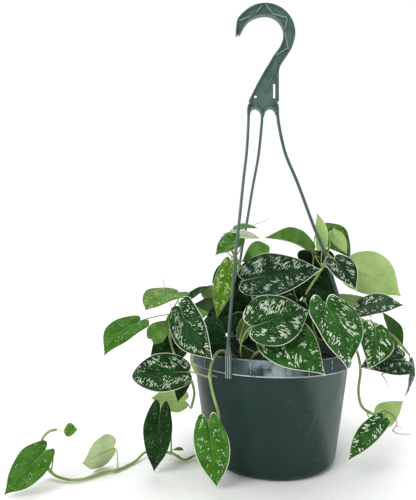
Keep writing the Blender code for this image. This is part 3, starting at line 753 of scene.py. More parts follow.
def grown(shape, spec, seed, form_of):
    """Adds a leaf with its midrib and petiole: two skins that meet along the edge, and a tapering bar
    that runs under the blade's middle, out of the notch and onto the stem."""
    stem_name, at, base, tip, face, width = spec
    base, tip = np.array(base, float), np.array(tip, float)
    length = np.linalg.norm(tip - base)
    ahead = unit(tip - base)
    normal = unit(np.array(face) - ahead * np.dot(face, ahead))
    across = np.cross(ahead, normal)
    x, y, z, edge = blade(length, width, seed, **form_of)
    form = base + x[..., None] * across + y[..., None] * ahead + z[..., None] * normal
    thick = BLADE_HALF * np.sqrt(np.clip(edge / THIN_EDGE, 0, 1))
    middle = x - x[:, MIDDLE : MIDDLE + 1]
    groove = GROOVE * np.exp(-(middle**2)) * (1 - ROWS[:, None]) ** 0.5
    upper = form + (thick - groove)[..., None] * normal
    lower = form - thick[..., None] * normal
    rows, columns = x.shape
    under = np.arange(rows * columns).reshape(rows, columns)
    under[1:-1, 1:-1] = rows * columns + np.arange((rows - 2) * (columns - 2)).reshape(rows - 2, -1)
    under_faces = np.stack([under[:-1, :-1], under[1:, :-1], under[1:, 1:], under[:-1, 1:]], -1)
    u, t = np.meshgrid(COLUMNS, ROWS)
    skins = {
        "points": (upper, lower),
        "blade_mm": [np.stack([middle, y, np.full_like(x, seed)], -1)] * 2,
        "blade": [np.stack([u, t, edge], -1)] * 2,
    }
    skins = {
        key: np.vstack([above.reshape(-1, 3), below[1:-1, 1:-1].reshape(-1, 3)])
        for key, (above, below) in skins.items()
    }
    shape.add(faces=[grid_faces(rows, columns), under_faces.reshape(-1, 4)], finish=(0, 1), **skins)

    size = min(1.0, 0.45 + width / 60)
    inner = 2 * PETIOLE / width
    notch = base - ahead * LOBE * length * math.sin(math.pi * inner**0.8) + normal * FOLD * PETIOLE
    low, high = MIDRIB_SPAN
    rib = (form[:, MIDDLE] - MIDRIB_BELOW * normal)[(ROWS > low) & (ROWS < high)][::-1]
    stalk = petiole_route(notch, ahead, normal, stem_name, at)
    share = np.linspace(0, 1, len(stalk))
    radius = 0.72 + 0.1 * share + 0.5 * ease(0.86, 1.0, share) - 0.1 * np.sin(np.pi * share)
    radius = np.concatenate([np.linspace(0.15, 0.8, len(rib)), radius]) * size
    bar, faces, along = tube(np.vstack([rib, stalk]), radius, 10)
    return shape.add(bar, faces, 2, bar=along)


def petiole_route(notch, ahead, normal, stem_name, at):
    """A cubic curve with its control points at the notch, behind and below it, off the stem, and on
    the stem's surface. The more the stem lies under the blade, the more it sets off downwards."""
    points = STEMS[stem_name]
    last = len(points) - 1
    at = round(at * STEM_STEPS) / STEM_STEPS
    before, centre, after = route_at(points, np.array([max(at - 0.1, 0), at, min(at + 0.1, last)]))
    tangent = unit(after - before)
    reach = np.linalg.norm(notch - centre)
    under = max(0.0, np.dot(centre - notch, ahead) / reach)
    back, down, share = 0.8 - 0.3 * under, 0.35 + 0.45 * under, 0.35 + 0.1 * under
    first = notch - (ahead * back + normal * down) * share * reach
    out = first - centre
    out = unit(out - tangent * np.dot(out, tangent))
    end = centre + out * STEM_RADIUS * 0.6
    if at >= last:
        out, end = tangent, centre - tangent * 0.3
    second = end + out * 0.3 * reach
    t = np.linspace(0, 1, 22)[:, None]
    return notch * (1 - t) ** 3 + first * 3 * t * (1 - t) ** 2 + second * 3 * t**2 * (1 - t) + end * t**3


def stem(name, points, joints, finish):
    """A stem along its route, with a swelling like a small bell curve at each leaf's joint, and a
    rounded end. It starts a little under the potting mix's surface."""
    points = np.array(points, float)
    points[0, 2] -= STEM_SUNK
    route = smooth_route(points, STEM_FINE)
    gone = distances(route)
    at = np.interp(joints, np.arange(len(route)) / STEM_FINE, gone)
    bumps = np.exp(-(((gone[:, None] - at) / JOINT_SPREAD) ** 2)).sum(axis=1)
    radius = STEM_RADIUS * (0.86 + 0.3 * np.clip(bumps, 0, 1))
    radius *= 0.55 + 0.45 * ease(-0.1, 3.0, gone[-1] - gone)
    bar, faces, along = tube(route, radius, 14)
    Shape().add(bar, faces, bar=along).made(f"{name}_vine", [finish], "stem", [f"{name}_stem"])


def roots(finish):
    """The dried roots and stalks: bars that thin out along their routes."""
    shape = Shape()
    for radius, points in ROOTS:
        route = smooth_route(points, 8)
        bar, faces, along = tube(route, radius * np.linspace(1.0, 0.45, len(route)), 8)
        shape.add(bar, faces, bar=along)
    shape.made("aerial_roots", [finish], "stem")


def line(start, end, count):
    """Evenly spaced steps from one (radius, height) to another, without the last."""
    return [tuple(p) for p in np.linspace(start, end, count, endpoint=False)]


def apart(angles, others):
    """How far each angle is from the nearest of the others, in radians."""
    return np.abs((angles[:, None] - others + np.pi) % (2 * np.pi) - np.pi).min(axis=1)


def pot_profile():
    """(radius, height) rows from the middle of the base round the heel, up the wall, out to the rim
    band, over its rounded lip, and down the inside to the middle of the floor."""
    heel = [
        (BASE_RADIUS + HEEL_RADIUS * math.sin(a), HEEL_RADIUS * (1 - math.cos(a)))
        for a in np.linspace(0, HEEL_TURN, 12)
    ]
    lip = [
        (RIM_RADIUS - LIP_RADIUS + math.cos(a), POT_HEIGHT - LIP_RADIUS + math.sin(a))
        for a in np.linspace(0, math.pi, 9)
    ]
    wall_top, wall_foot = (WALL_TOP_RADIUS - WALL, BAND_FOOT - 2), (WALL_FOOT_RADIUS - WALL, HEEL_RADIUS)
    return (
        line((BASE_MIDDLE, 0), heel[0], 5)
        + heel
        + line((heel[-1][0] + 0.2, heel[-1][1] + 1.4), (WALL_TOP_RADIUS, BAND_FOOT - 0.3), 16)
        + [(WALL_TOP_RADIUS, BAND_FOOT - 0.3), (WALL_TOP_RADIUS + 0.1, BAND_FOOT - 0.05)]
        + [(WALL_TOP_RADIUS + 0.4, BAND_FOOT), (RIM_RADIUS - 0.4, BAND_FOOT)]
        + [(RIM_RADIUS - 0.08, BAND_FOOT + 0.1), (RIM_RADIUS, BAND_FOOT + 0.5), (RIM_RADIUS, BAND_FOOT + 1.2)]
        + line((RIM_RADIUS, BAND_FOOT + 2), (RIM_RADIUS, POT_HEIGHT - 2.4), 5)
        + [(RIM_RADIUS, POT_HEIGHT - 2.4), (RIM_RADIUS, POT_HEIGHT - 1.6)]
        + lip
        + line((RIM_RADIUS - BAND_WALL, POT_HEIGHT - 1.4), wall_top, 6)
        + line(wall_top, wall_foot, 12)
        + line(wall_foot, (BASE_RADIUS, FLOOR), 4)
        + line((BASE_RADIUS, FLOOR), (BASE_MIDDLE, FLOOR), 5)
    )


def pot_shell(finish):
    """The pot: its profile turned about Z, with raised ribs round the rim band except where a clip
    grips it, and drain holes."""
    radius, height = np.array(pot_profile()).T
    ribs = np.radians(RIB_START + 360 * np.arange(RIBS) / RIBS)
    ribs = ribs[apart(ribs, np.radians(CLIP_ANGLES)) > math.radians(RIB_CLIP_ROOM)]
    beside = (ribs[:, None] + np.array(RIB_STEPS) / RIM_RADIUS).ravel()
    angles = np.concatenate([np.arange(POT_SIDES) * 2 * np.pi / POT_SIDES, beside])
    angles = np.unique(np.round(angles % (2 * np.pi), 5))
    away = apart(angles, ribs) * RIM_RADIUS
    on_band = ease(BAND_FOOT + 0.4, BAND_FOOT + 1.2, height) * (radius > RIM_RADIUS - 0.01)
    on_band *= 1 - ease(POT_HEIGHT - 2.4, POT_HEIGHT - 1.6, height)
    radius = radius[:, None] + on_band[:, None] * RIB_HEIGHT * (1 - ease(0.4, 0.62, away))
    shape = Shape().add(*turned(radius, height[:, None], angles))
    holes = Shape()
    for k in range(DRAIN_HOLES):
        a = 2 * math.pi * (k + 0.5) / DRAIN_HOLES
        foot = np.array((DRAIN_CIRCLE * math.cos(a), DRAIN_CIRCLE * math.sin(a), -3))
        holes.add(*tube(np.linspace(foot, foot + (0, 0, 8), 3), DRAIN_RADIUS, 24)[:2])
    cut(shape.made("pot_shell", [finish], "pot_plastic", ["pot"]), holes)


def mix_height(x, y):
    """The mix's lumpy surface: waves of several lengths and directions added up."""
    turns = np.arange(WAVES) * WAVE_TURN + 0.3
    pace = WAVE_PACE * 1.45 ** np.arange(WAVES)
    waves = [
        np.sin(p * (x * math.cos(a) + y * math.sin(a)) + 5 * a) / (1 + 0.5 * k)
        for k, (a, p) in enumerate(zip(turns, pace))
    ]
    return MIX_TOP - MIX_SUNK + MIX_LUMPS * (sum(waves) / 2.6)


def mix_bed(finish):
    """The potting mix: a turned form whose top is lumpy and sinks a little towards the wall."""
    side = np.array((
        (6, FLOOR + GAP), (BASE_RADIUS - 1, FLOOR + GAP), (WALL_FOOT_RADIUS - WALL - 0.6, HEEL_RADIUS),
        (WALL_TOP_RADIUS - WALL - 0.5, BAND_FOOT - 2.2),
    ))
    top = np.linspace(WALL_TOP_RADIUS - WALL - 0.45, 3, 60)
    radius = np.concatenate([side[:, 0], top])[:, None]
    angles = np.arange(MIX_SIDES) * 2 * np.pi / MIX_SIDES
    height = mix_height(radius * np.cos(angles), radius * np.sin(angles)) - ease(*MIX_SINKS, radius)
    height[: len(side)] = side[:, 1:]
    shape = Shape().add(*turned(np.broadcast_to(radius, height.shape), height, angles))
    shape.made("mix_bed", [finish], "potting_mix", ["potting_mix"])


def scattered(name, count, sizes, finish, seed, sink):
    """Bits strewn over the mix: twenty-sided grains, each stretched, turned and dropped by chance."""
    chance = np.random.default_rng(seed)
    gold = (1 + 5**0.5) / 2
    corner = np.array([(-1, gold, 0), (1, gold, 0), (-1, -gold, 0), (1, -gold, 0)], float)
    grain = unit(np.vstack([corner, corner[:, (2, 0, 1)], corner[:, (1, 2, 0)]]))
    faces = np.array((
        (0, 11, 5), (0, 5, 1), (0, 1, 7), (0, 7, 10), (0, 10, 11), (1, 5, 9), (5, 11, 4), (11, 10, 2),
        (10, 7, 6), (7, 1, 8), (3, 9, 4), (3, 4, 2), (3, 2, 6), (3, 6, 8), (3, 8, 9), (4, 9, 5),
        (2, 4, 11), (6, 2, 10), (8, 6, 7), (9, 8, 1),
    ))
    low, high = np.array(sizes, float).T
    size = chance.uniform(low, high, (count, 3)) * chance.uniform(0.6, 1, (count, 1))
    rough = chance.uniform(0.75, 1.15, (count, 12, 1))
    lean = chance.normal(size=(count, 3, 3)) * (0.35, 0.35, 1)
    turn = np.linalg.qr(lean + np.eye(3) * (1.5, 1.5, 0))[0]
    r = MIX_SPREAD * np.sqrt(chance.uniform(0, 1, count))
    a = chance.uniform(0, 2 * np.pi, count)
    x, y = r * np.cos(a), r * np.sin(a)
    spot = np.stack([x, y, mix_height(x, y) + size[:, 2] * sink], -1)
    points = np.einsum("nij,nkj->nki", turn, grain * rough * size[:, None]) + spot[:, None]
    many = (faces + 12 * np.arange(count)[:, None, None]).reshape(-1, 3)
    shade = np.repeat(chance.uniform(0, 1, (count, 3)), 12, axis=0)
    Shape().add(points, [many], bit=shade).made(name, [finish], "potting_mix").data.shade_flat()


def in_plane(pairs):
    """(x, z) pairs as points of the hook's plane."""
    return np.insert(np.array(pairs, float), 1, 0, axis=1)


def plate(outline, depth):
    """A flat plate in the hook's plane, from its outline of (x, z) points."""
    points = np.array([[(x, y, z) for x, z in outline] for y in (depth, -depth)], float)
    return points, bar_faces(2, len(outline))


def hook_edges():
    """The hook's inner and outer edge, from its tip round to the yoke."""
    cx, cz = HOOK_CENTRE
    arc = []
    for degrees, inner in HOOK_ARC:
        c, s = math.cos(math.radians(degrees)), math.sin(math.radians(degrees))
        arc.append(((cx + inner * c, cz + inner * s), (cx + HOOK_OUTER * c, cz + HOOK_OUTER * s)))
    pairs = np.array([*HOOK_TIP, *arc, *HOOK_NECK])
    return [smooth_route(in_plane(pairs[:, k]), 6) for k in (0, 1)]


def hook(finish):
    """The hook and plate: an I section between the smoothed inner and outer edge lines, with a slot
    and a hole through the plate."""
    inner, outer = hook_edges()
    width = np.linalg.norm(outer - inner, axis=1)[:, None]
    along = (outer - inner) / width
    near = np.array((0, 0.25, FLANGE - 0.2, FLANGE, FLANGE + 0.3))
    depth = np.array((HOOK_DEPTH - 0.25, HOOK_DEPTH, HOOK_DEPTH, HOOK_DEPTH - 0.3, WEB))
    share = np.hstack([np.broadcast_to(near, (len(width), 5)), width - near[::-1]])
    share = np.hstack([share, share[:, ::-1]])
    points = inner[:, None] + along[:, None] * share[..., None]
    points[..., 1] = np.concatenate([-depth, -depth[::-1], depth, depth[::-1]])
    shape = Shape().add(points, bar_faces(*share.shape))
    low, high = SLOT_ENDS
    turn = np.linspace(0, math.pi, 9)
    reach = SLOT_RADIUS * np.stack([np.cos(turn), np.sin(turn)], -1)
    holes = Shape().add(*plate(np.vstack([(SLOT_X, low) - reach, (SLOT_X, high) + reach]), THROUGH))
    x, z = HOLE
    holes.add(*tube(np.linspace((x, -THROUGH, z), (x, THROUGH, z), 3), HOLE_RADIUS, 20)[:2])
    cut(shape.made("hook_and_plate", [finish], "hanger_plastic", ["hanger"]), holes)


def strip(route, depth, thick):
    """A flat strip that stands across the hook's plane and follows a route in it."""
    route = np.asarray(route, float)
    along = unit(np.gradient(route, axis=0))
    across = np.stack([along[:, 2], along[:, 1], -along[:, 0]], -1) * thick / 2
    deep = np.array((0, depth, 0))
    corners = [route + across - deep, route + across + deep, route - across + deep, route - across - deep]
    return np.stack(corners, 1), bar_faces(len(route), 4)


def strand_route(start_x, angle):
    """A strand's route from the yoke to its clip, by the common fall of all three."""
    angle = math.radians(angle)
    fall = np.array(STRAND_FALL)
    end = STRAND_END * np.array((math.cos(angle), math.sin(angle)))
    start = np.array((start_x, 0.0))
    level = start + (end - start) * fall[:, 1:]
    return smooth_route(np.hstack([level, fall[:, :1]]), 10)


def clip(angle):
    """A rim clip: a ridged plate carried up the rim band, narrowing into the strand. Its points carry
    how far they stand out, which the hanger's finish turns into painted highlights on the ridges' tops
    and painted shade in the grooves between them."""
    z = np.array(CLIP_HEIGHTS)
    up = ease(*CLIP_SHOULDER, z)[:, None]
    lift = np.sqrt(np.clip((z - CLIP_FOOT) / 0.3, 0, 1))[:, None] * 0.25 + 0.75
    v = np.linspace(-1, 1, 25)
    half = CLIP_WIDTH / 2 * (1 - up) + CLIP_NECK * up
    ridges = CLIP_RIDGE * np.cos(np.clip(v, -0.93, 0.93) * 3.45 * np.pi) * (1 - up)
    outer = (CLIP_OUTER - CLIP_RIDGE) * (1 - up) + (STRAND_END + 1.0) * up
    outer = outer + ridges * lift - CLIP_ROUNDING * np.abs(v) ** 8
    inner = CLIP_INNER + 0 * v + up * 0.3 + 0.25 * np.abs(v) ** 8
    y = np.hstack([half * v, (half * v)[:, ::-1]])
    x = np.hstack([outer, inner[:, ::-1]])
    points = np.stack([x, y, np.broadcast_to(z[:, None], x.shape)], -1)
    # painted highlight on the ridges' tops and painted shade in the grooves between them, on the outer face
    # only
    crest_shading = np.hstack([2 * ridges, 0 * ridges])[..., None] * (1, 0, 0)
    return swung(points.reshape(-1, 3), angle), bar_faces(*x.shape), crest_shading.reshape(-1, 3)


def strands(finish):
    """The web's ribs, the yoke, the three strands and their clips."""
    shape = Shape()
    # The hook's ribs and the plate's rib carry a value that the hanger's finish turns into a painted
    # highlight
    for k, (a, b) in enumerate(HOOK_RIBS):
        shape.add(*strip(in_plane((a, b)), RIB_DEPTH - 0.05 * k, RIB_THICK), ridge=(RIB_HIGHLIGHT, 0, 0))
    shape.add(*strip(in_plane(PLATE_RIB), PLATE_RIB_DEPTH, PLATE_RIB_THICK), ridge=(PLATE_RIB_HIGHLIGHT, 0, 0))
    shape.add(*plate(YOKE_WEB, WEB + 0.2))
    for edge in YOKE_EDGES:
        shape.add(*strip(smooth_route(in_plane(edge), 6), YOKE_DEPTH, FLANGE))
    for start, angle in zip(STRAND_STARTS, CLIP_ANGLES):
        out = (math.cos(math.radians(angle)), math.sin(math.radians(angle)), 0)
        route = strand_route(start, angle)
        bar, faces, along = tube(route, STRAND_RADIUS, 20, 0.94, np.cross(out, (0, 0, 1)), 0.07)
        # painted shade: a carried value that darkens each strand down two opposite sides
        shape.add(bar, faces, ridge=(0.8 * np.cos(2 * along[:, 1:2]) - 0.4) * (1, 0, 0))
        points, faces, crest_shading = clip(angle)
        shape.add(points, faces, ridge=crest_shading)
        low, high = CLIP_LIP_REACH
        lip = [((low + high) / 2, 0, CLIP_FOOT + up) for up in (0.3, CLIP_LIP)]
        points, faces = strip(lip, CLIP_WIDTH / 2 - 0.5, high - low)
        shape.add(swung(points, angle), faces)
    piece = shape.made("strands_and_clips", [finish], "hanger_plastic", ["hanger"])
    finished(piece, "BEVEL", width=0.3 * MM, segments=2, limit_method="ANGLE", angle_limit=math.radians(50))


def upper_finish(name, deep, mid, mark, cover, dash, edge):
    """A leaf's upper side: mottled green, pale dashes lying along the side veins, a faint midrib and
    a pale edge line. cover is how much of each half the dashes take, dash their (length, width). The
    seed sets every leaf's pattern apart, and the sign of x that of its two halves."""
    f = Finish(name, 0.5, 0.05)
    x, y, seed = f.carried("blade_mm")
    u, t, rim = f.carried("blade")
    side, half = abs(x), abs(u)
    lane = y - side * 0.7 - side**2.0 * 0.008
    apart_by = seed * 7.3 + f.math("SIGN", x) * 3.1
    flat = f.vector(x, y, apart_by)
    blur = f.noise(flat, 0.4)
    length, width = dash
    spots = f.cells(f.vector(side / length + blur * 0.9, lane / width + blur * 1.6, apart_by), 1.0)
    patch = f.noise(flat, 0.13, 1.0).step(0.36, 0.6, 0.3, 1.0)
    inside = half.step(0.05, 0.3, 0.2, 1.0) * half.step(0.98, 0.7, 0.25, 1.0)
    reach = patch * inside * (t.step(1.0, 0.93) * cover)
    ragged = spots + (f.noise(flat, 1.7, 1.0) - 0.5) * 0.22
    marks = (reach - ragged).step(-0.01, 0.02)
    light = tuple(min(1.0, 1.7 * c + 0.006) for c in mid)
    rung = f.math("PINGPONG", lane + blur, 2.6).step(0.5, 0.0)
    rib = side.step(0.8, 0.25) * t.step(0.95, 0.1, 0.2 * MIDRIB_SHOW, MIDRIB_SHOW)
    green = f.blend(f.noise(flat, 0.1, 3.0).step(0.3, 0.7), deep, mid)
    green = f.blend(rung * 0.14, green, light)
    green = f.blend(rib, green, light)
    green = f.blend(marks, green, f.blend(f.noise(flat, 0.6), tuple(0.7 * c for c in mark), mark))
    f.colour(f.blend(rim.step(EDGE_LINE, 0.4 * EDGE_LINE) * 0.95, green, edge))
    f.rough(f.noise(flat, 0.2).step(0.3, 0.7, 0.44, 0.54) + marks * 0.12)
    f.bump(f.noise(flat, 1.3, 3.0) * 0.3 - rung * 0.5, 0.25, 0.6)
    return f.material


def under_finish(name, base, shade):
    """A leaf's under side: pale matt green with slightly raised lighter veins."""
    f = Finish(name, 0.6, 0.06)
    x, y, seed = f.carried("blade_mm")
    rim = f.carried("blade")[2]
    side = abs(x)
    lane = y - side * 0.62 - side**2.0 * 0.006
    flat = f.vector(x, y, seed * 7.3)
    rung = f.math("PINGPONG", lane + f.noise(flat, 0.5), 3.1).step(0.6, 0.0) * side.step(30.0, 4.0)
    green = f.blend(f.noise(flat, 0.06, 3.0).step(0.3, 0.7), shade, base)
    green = f.blend(rung * 0.3, green, tuple(min(1, 1.35 * c) for c in base))
    f.colour(f.blend(rim.step(0.7, 0.3) * 0.7, green, UNDER_EDGE))
    f.bump(rung + f.noise(flat, 1.1, 3.0) * 0.6, 0.2, 0.5)
    return f.material


def bar_finish(name, light, dark):
    """A stem or petiole: streaks that run along it, and painted shade, a dark brown, inside the pot near the
    potting mix.
    """
    f = Finish(name, 0.42, 0.2)
    gone, around, _ = f.carried("bar")
    place = f.place()
    z, out = f.spot(place)[2:]
    streak = f.noise(f.vector(gone * 0.05, f.math("COSINE", around), f.math("SINE", around)), 2.2, 3.0)
    green = f.blend(streak.step(0.35, 0.65), light, dark)
    blotch = f.noise(place, 0.09).step(0.55, 0.75, 0.0, 0.5)
    green = f.blend(blotch, green, tuple(0.6 * c for c in dark))
    # painted shade: darker brown inside the pot near the potting mix, where the leaves above shade the stalks
    low = z.step(MIX_TOP + 38, MIX_TOP + 6, 0.0, 0.85) * out.step(80.0, 62.0)
    f.colour(f.blend(low, green, (0.028, 0.034, 0.012)))
    f.bump(streak + f.noise(place, 1.1) * 0.4, 0.15, 0.5)
    return f.material


def pot_finish():
    """Dark green moulded plastic: the body deep and even with faint turning lines low down, the rim
    band a little bluer, with a painted reflection of pale clouds strongest towards -Y and painted
    highlights in broken pale lines along its edges and ribs, a painted reflection as a dull pale patch
    on the right-hand side, and a little dust and thin scuffs."""
    f = Finish("pot_plastic_finish", 0.34, 0.14)
    place = f.place()
    x, y, z, out = f.spot(place)
    haze = f.noise(place, 0.018, 4.0)
    drift = f.noise(f.stretched(place, (0.02, 0.02, 0.004)), 1.0, 3.0)
    uneven = f.noise(place, 0.35, 3.0, 0.6)
    band = z.step(BAND_FOOT - 0.6, BAND_FOOT) * out.step(WALL_TOP_RADIUS, RIM_RADIUS - 1)

    green = f.blend(haze.step(0.35, 0.7), (0.013, 0.034, 0.026), (0.019, 0.044, 0.035))
    green = f.blend(drift.step(0.5, 0.75, 0.0, 0.3), green, (0.022, 0.05, 0.043))
    scratch = f.noise(f.stretched(place, (0.012, 0.5, 0.012), (0.5, 0.62, 0.2)), 1.0).step(0.68, 0.74)
    scratch = scratch * haze.step(0.52, 0.66, 0.0, 0.6)
    green = f.blend(scratch, green, (0.14, 0.18, 0.165))

    # painted reflection: pale bluish clouds on the rim band, strongest on the side that faces -Y
    front_reflection = x.step(-38.0, -8.0) * x.step(22.0, 2.0) * y.step(0.0, -60.0, 0.15, 1.0)
    band_reflection = f.noise(place, 0.07, 4.0, 0.6).step(0.3, 0.62) * (front_reflection + 0.07)
    green = f.blend(band * 0.85, green, f.blend(band_reflection, (0.017, 0.038, 0.036), (0.36, 0.45, 0.48)))

    # painted highlights: broken pale lines along the rim band's lower edge, along its top edge and on its
    # ribs
    foot = z.step(BAND_FOOT + 1.3, BAND_FOOT + 0.7) * uneven.step(0.3, 0.5, 0.35, 1.0)
    foot = foot * band * abs(x).step(74.0, 40.0, 0.3, 1.0)
    top = z.step(POT_HEIGHT - 1.2, POT_HEIGHT - 0.6) * uneven.step(0.35, 0.6, 0.0, 0.4)
    crest_shading = out.step(RIM_RADIUS + 0.15, RIM_RADIUS + 0.4) * uneven.step(0.4, 0.6, 0.1, 0.6)
    edge_highlight = f.math("MAXIMUM", f.math("MAXIMUM", foot, top), crest_shading)
    green = f.blend(edge_highlight, green, (0.5, 0.58, 0.58))

    # painted reflection: a dull pale patch on the right-hand side of the body
    right_reflection = (x + z * 0.3 + drift * 30.0).step(60.0, 76.0, 0.0, 0.8) * drift.step(0.3, 0.6, 0.6, 1.0)
    green = f.blend(right_reflection * (1.0 - band), green, (0.095, 0.135, 0.122))
    dust = f.cells(place, 0.16).step(0.09, 0.03) * haze.step(0.5, 0.62, 0.0, 0.7)
    f.colour(f.blend(dust, green, (0.3, 0.33, 0.3)))
    f.rough(f.noise(place, 0.05, 4.0).step(0.3, 0.7, 0.3, 0.44))
    rings = f.math("PINGPONG", z, 3.5).step(0.35, 0.0) * z.step(34.0, 8.0)
    f.bump(rings * 0.5 + f.noise(place, 0.9, 3.0) * 0.25 - scratch, 0.15, 0.5)
    return f.material


def hanger_finish():
    """The hanger's paler green plastic, a little cloudy, with flow marks from its mould, painted
    highlights on the ridges of its clips and on its ribs, and painted shade in the clips' grooves and
    down two sides of each strand."""
    f = Finish("hanger_plastic_finish", 0.32, 0.5)
    place = f.place()
    crest_shading = f.carried("ridge")[0]
    flow = f.noise(place, 0.07, 4.0, 0.6, 0.8)
    green = f.blend(flow.step(0.3, 0.7), (0.06, 0.118, 0.094), (0.092, 0.155, 0.128))
    green = f.blend(f.noise(place, 0.3, 3.0).step(0.55, 0.8, 0.0, 0.3), green, (0.22, 0.3, 0.26))
    # painted shade where the carried value is low, in the clips' grooves and down the strands' sides; painted
    # highlight where it is high, on the clips' ridges and the ribs
    green = f.blend(crest_shading.step(-0.2, -1.0, 0.0, 0.7), green, (0.03, 0.06, 0.05))
    f.colour(f.blend(crest_shading.step(0.4, 0.95, 0.0, 0.9), green, (0.5, 0.6, 0.56)))
    f.rough(flow.step(0.3, 0.7, 0.28, 0.42))
    f.bump(f.noise(place, 0.8, 3.0), 0.12, 0.5)
    return f.material


def soil_finish(name, dark, mid, light):
    """Damp peat: dark crumbs with some lighter fibres."""
    f = Finish(name, 0.9, 0.25)
    place = f.place()
    grain = f.noise(place, 0.45, 5.0, 0.7)
    fibre = f.noise(f.stretched(place, (0.12, 0.9, 0.9), (0.3, 0.2, 0.9)), 1.0, 3.0)
    brown = f.blend(grain.step(0.35, 0.65), dark, mid)
    f.colour(f.blend(fibre.step(0.6, 0.72, 0.0, 0.7), brown, light))
    f.bump(grain, 1.2, 1.0)
    return f.material


def bit_finish(name, dark, light):
    """Bark or perlite: every bit has its own shade between dark and light."""
    f = Finish(name, 0.85, 0.25)
    shade = f.carried("bit")[0]
    place = f.place()
    f.colour(f.blend(shade * 0.7 + f.noise(place, 0.8) * 0.3, dark, light))
    f.bump(f.noise(place, 1.2, 3.0), 0.4, 0.8)
    return f.material


def floor_finish():
    """A pale matt floor with the faintest mottle."""
    f = Finish("studio_floor_finish", 0.8, 0.1)
    f.colour(f.blend(f.noise(f.place(), 0.004, 3.0), (0.93, 0.93, 0.93), (0.97, 0.97, 0.965)))
    return f.material


# Colours of marks and edges, the edge line's width in mm, and how clear the midrib is
WHITE_MARK = (0.74, 0.84, 0.66)
SILVER_MARK = (0.5, 0.6, 0.46)
PALE_EDGE = (0.82, 0.9, 0.72)
SOFT_EDGE = (0.3, 0.4, 0.18)
UNDER_EDGE = (0.55, 0.6, 0.38)
EDGE_LINE = 0.75
MIDRIB_SHOW = 0.25
SHORT_DASH = (2.8, 1.3)
NO_MARKS = ((0.3, 0.4, 0.2), 0.0, (4.0, 2.0))

# Upper sides: deep green, mid green, mark, cover, dash (length, width) in mm, edge
UPPER = {
    "dark_silver": ((0.005, 0.022, 0.007), (0.012, 0.046, 0.014), SILVER_MARK, 0.47, (4.0, 1.1), PALE_EDGE),
    "dark_white": ((0.009, 0.04, 0.008), (0.023, 0.082, 0.018), WHITE_MARK, 0.46, (3.2, 1.2), PALE_EDGE),
    "green_white": ((0.014, 0.062, 0.01), (0.036, 0.125, 0.022), WHITE_MARK, 0.46, (3.2, 1.8), PALE_EDGE),
    "fine_white": ((0.007, 0.032, 0.007), (0.018, 0.068, 0.015), WHITE_MARK, 0.42, (2.8, 0.95), PALE_EDGE),
    "grey_white": ((0.018, 0.045, 0.018), (0.034, 0.075, 0.034), WHITE_MARK, 0.42, (3.2, 1.3), PALE_EDGE),
    "few_dots": ((0.03, 0.11, 0.01), (0.06, 0.18, 0.02), WHITE_MARK, 0.22, (2.2, 1.6), (0.1, 0.2, 0.04)),
    "bright_dots": ((0.03, 0.12, 0.01), (0.06, 0.2, 0.022), (0.72, 0.82, 0.62), 0.32, (2.3, 1.7), PALE_EDGE),
    "speckled": ((0.05, 0.15, 0.008), (0.1, 0.235, 0.018), (0.55, 0.68, 0.28), 0.46, (2.0, 1.1), SOFT_EDGE),
    "pale_speckled": (
        (0.05, 0.13, 0.015), (0.1, 0.22, 0.03), (0.42, 0.54, 0.26), 0.42, SHORT_DASH, SOFT_EDGE,
    ),
    "mid_speckled": (
        (0.028, 0.098, 0.01), (0.06, 0.17, 0.02), (0.42, 0.56, 0.28), 0.36, SHORT_DASH, (0.2, 0.3, 0.1),
    ),
    "deep_plain": (
        (0.005, 0.024, 0.005), (0.014, 0.05, 0.012), (0.5, 0.62, 0.45), 0.2, (2.0, 1.5), (0.05, 0.1, 0.03),
    ),
    "shaded": (
        (0.004, 0.016, 0.004), (0.011, 0.036, 0.009), (0.12, 0.16, 0.1), 0.3, (2.4, 1.4), (0.05, 0.09, 0.03),
    ),
    "plain": ((0.06, 0.15, 0.022), (0.11, 0.24, 0.045), *NO_MARKS, (0.2, 0.3, 0.1)),
    "shaded_plain": ((0.014, 0.045, 0.008), (0.03, 0.085, 0.015), *NO_MARKS, (0.1, 0.18, 0.05)),
    "light_plain": ((0.09, 0.22, 0.035), (0.16, 0.33, 0.07), *NO_MARKS, (0.3, 0.4, 0.2)),
    # painted highlight: near-white greens for the glare off an upturned leaf
    "faded": ((0.82, 0.88, 0.7), (0.9, 0.95, 0.8), *NO_MARKS, (0.9, 0.94, 0.8)),
}

# Under sides: lighter and darker green
UNDER = {
    "pale": ((0.44, 0.62, 0.23), (0.34, 0.5, 0.17)),
    "soft": ((0.2, 0.34, 0.09), (0.12, 0.22, 0.05)),
    "grey": ((0.16, 0.25, 0.12), (0.1, 0.17, 0.08)),
    # painted highlight: near-white greens for the glare off an upturned leaf
    "faded": ((0.9, 0.95, 0.8), (0.84, 0.9, 0.72)),
    "olive": ((0.08, 0.12, 0.035), (0.045, 0.075, 0.02)),
    "chalky": ((0.66, 0.8, 0.45), (0.52, 0.66, 0.33)),
}

# Under sides whose petiole is pale too
PALE_BELOW = ("pale", "faded", "chalky")

# The set, in metres: the floor, what the surroundings give off, the lights and the camera
FLOOR_HALF = 4.0
FLOOR_DROP = 0.0003
EYE_WHITE = 1.05
FRONT_GLOW = 0.12
BACK_GLOW = 0.7
SIDE_GLOW = 1.2
SUNS = {
    "key_light": ((-0.7, -0.8, 0.9), 1.8, 35),
    "fill_light": ((0.9, -0.5, 0.6), 0.35, 50),
    "top_light": ((0.1, 0.6, 1.5), 1.6, 60),
}
CAMERA_PLACE = (-0.0657, -0.435, 0.185)
CAMERA = {"lens": 29.23, "sensor_width": 36, "shift_y": 0.0586, "clip_start": 0.01}


def linked(name, data):
    """A new object in the scene."""
    made = bpy.data.objects.new(name, data)
    bpy.context.scene.collection.objects.link(made)
    return made


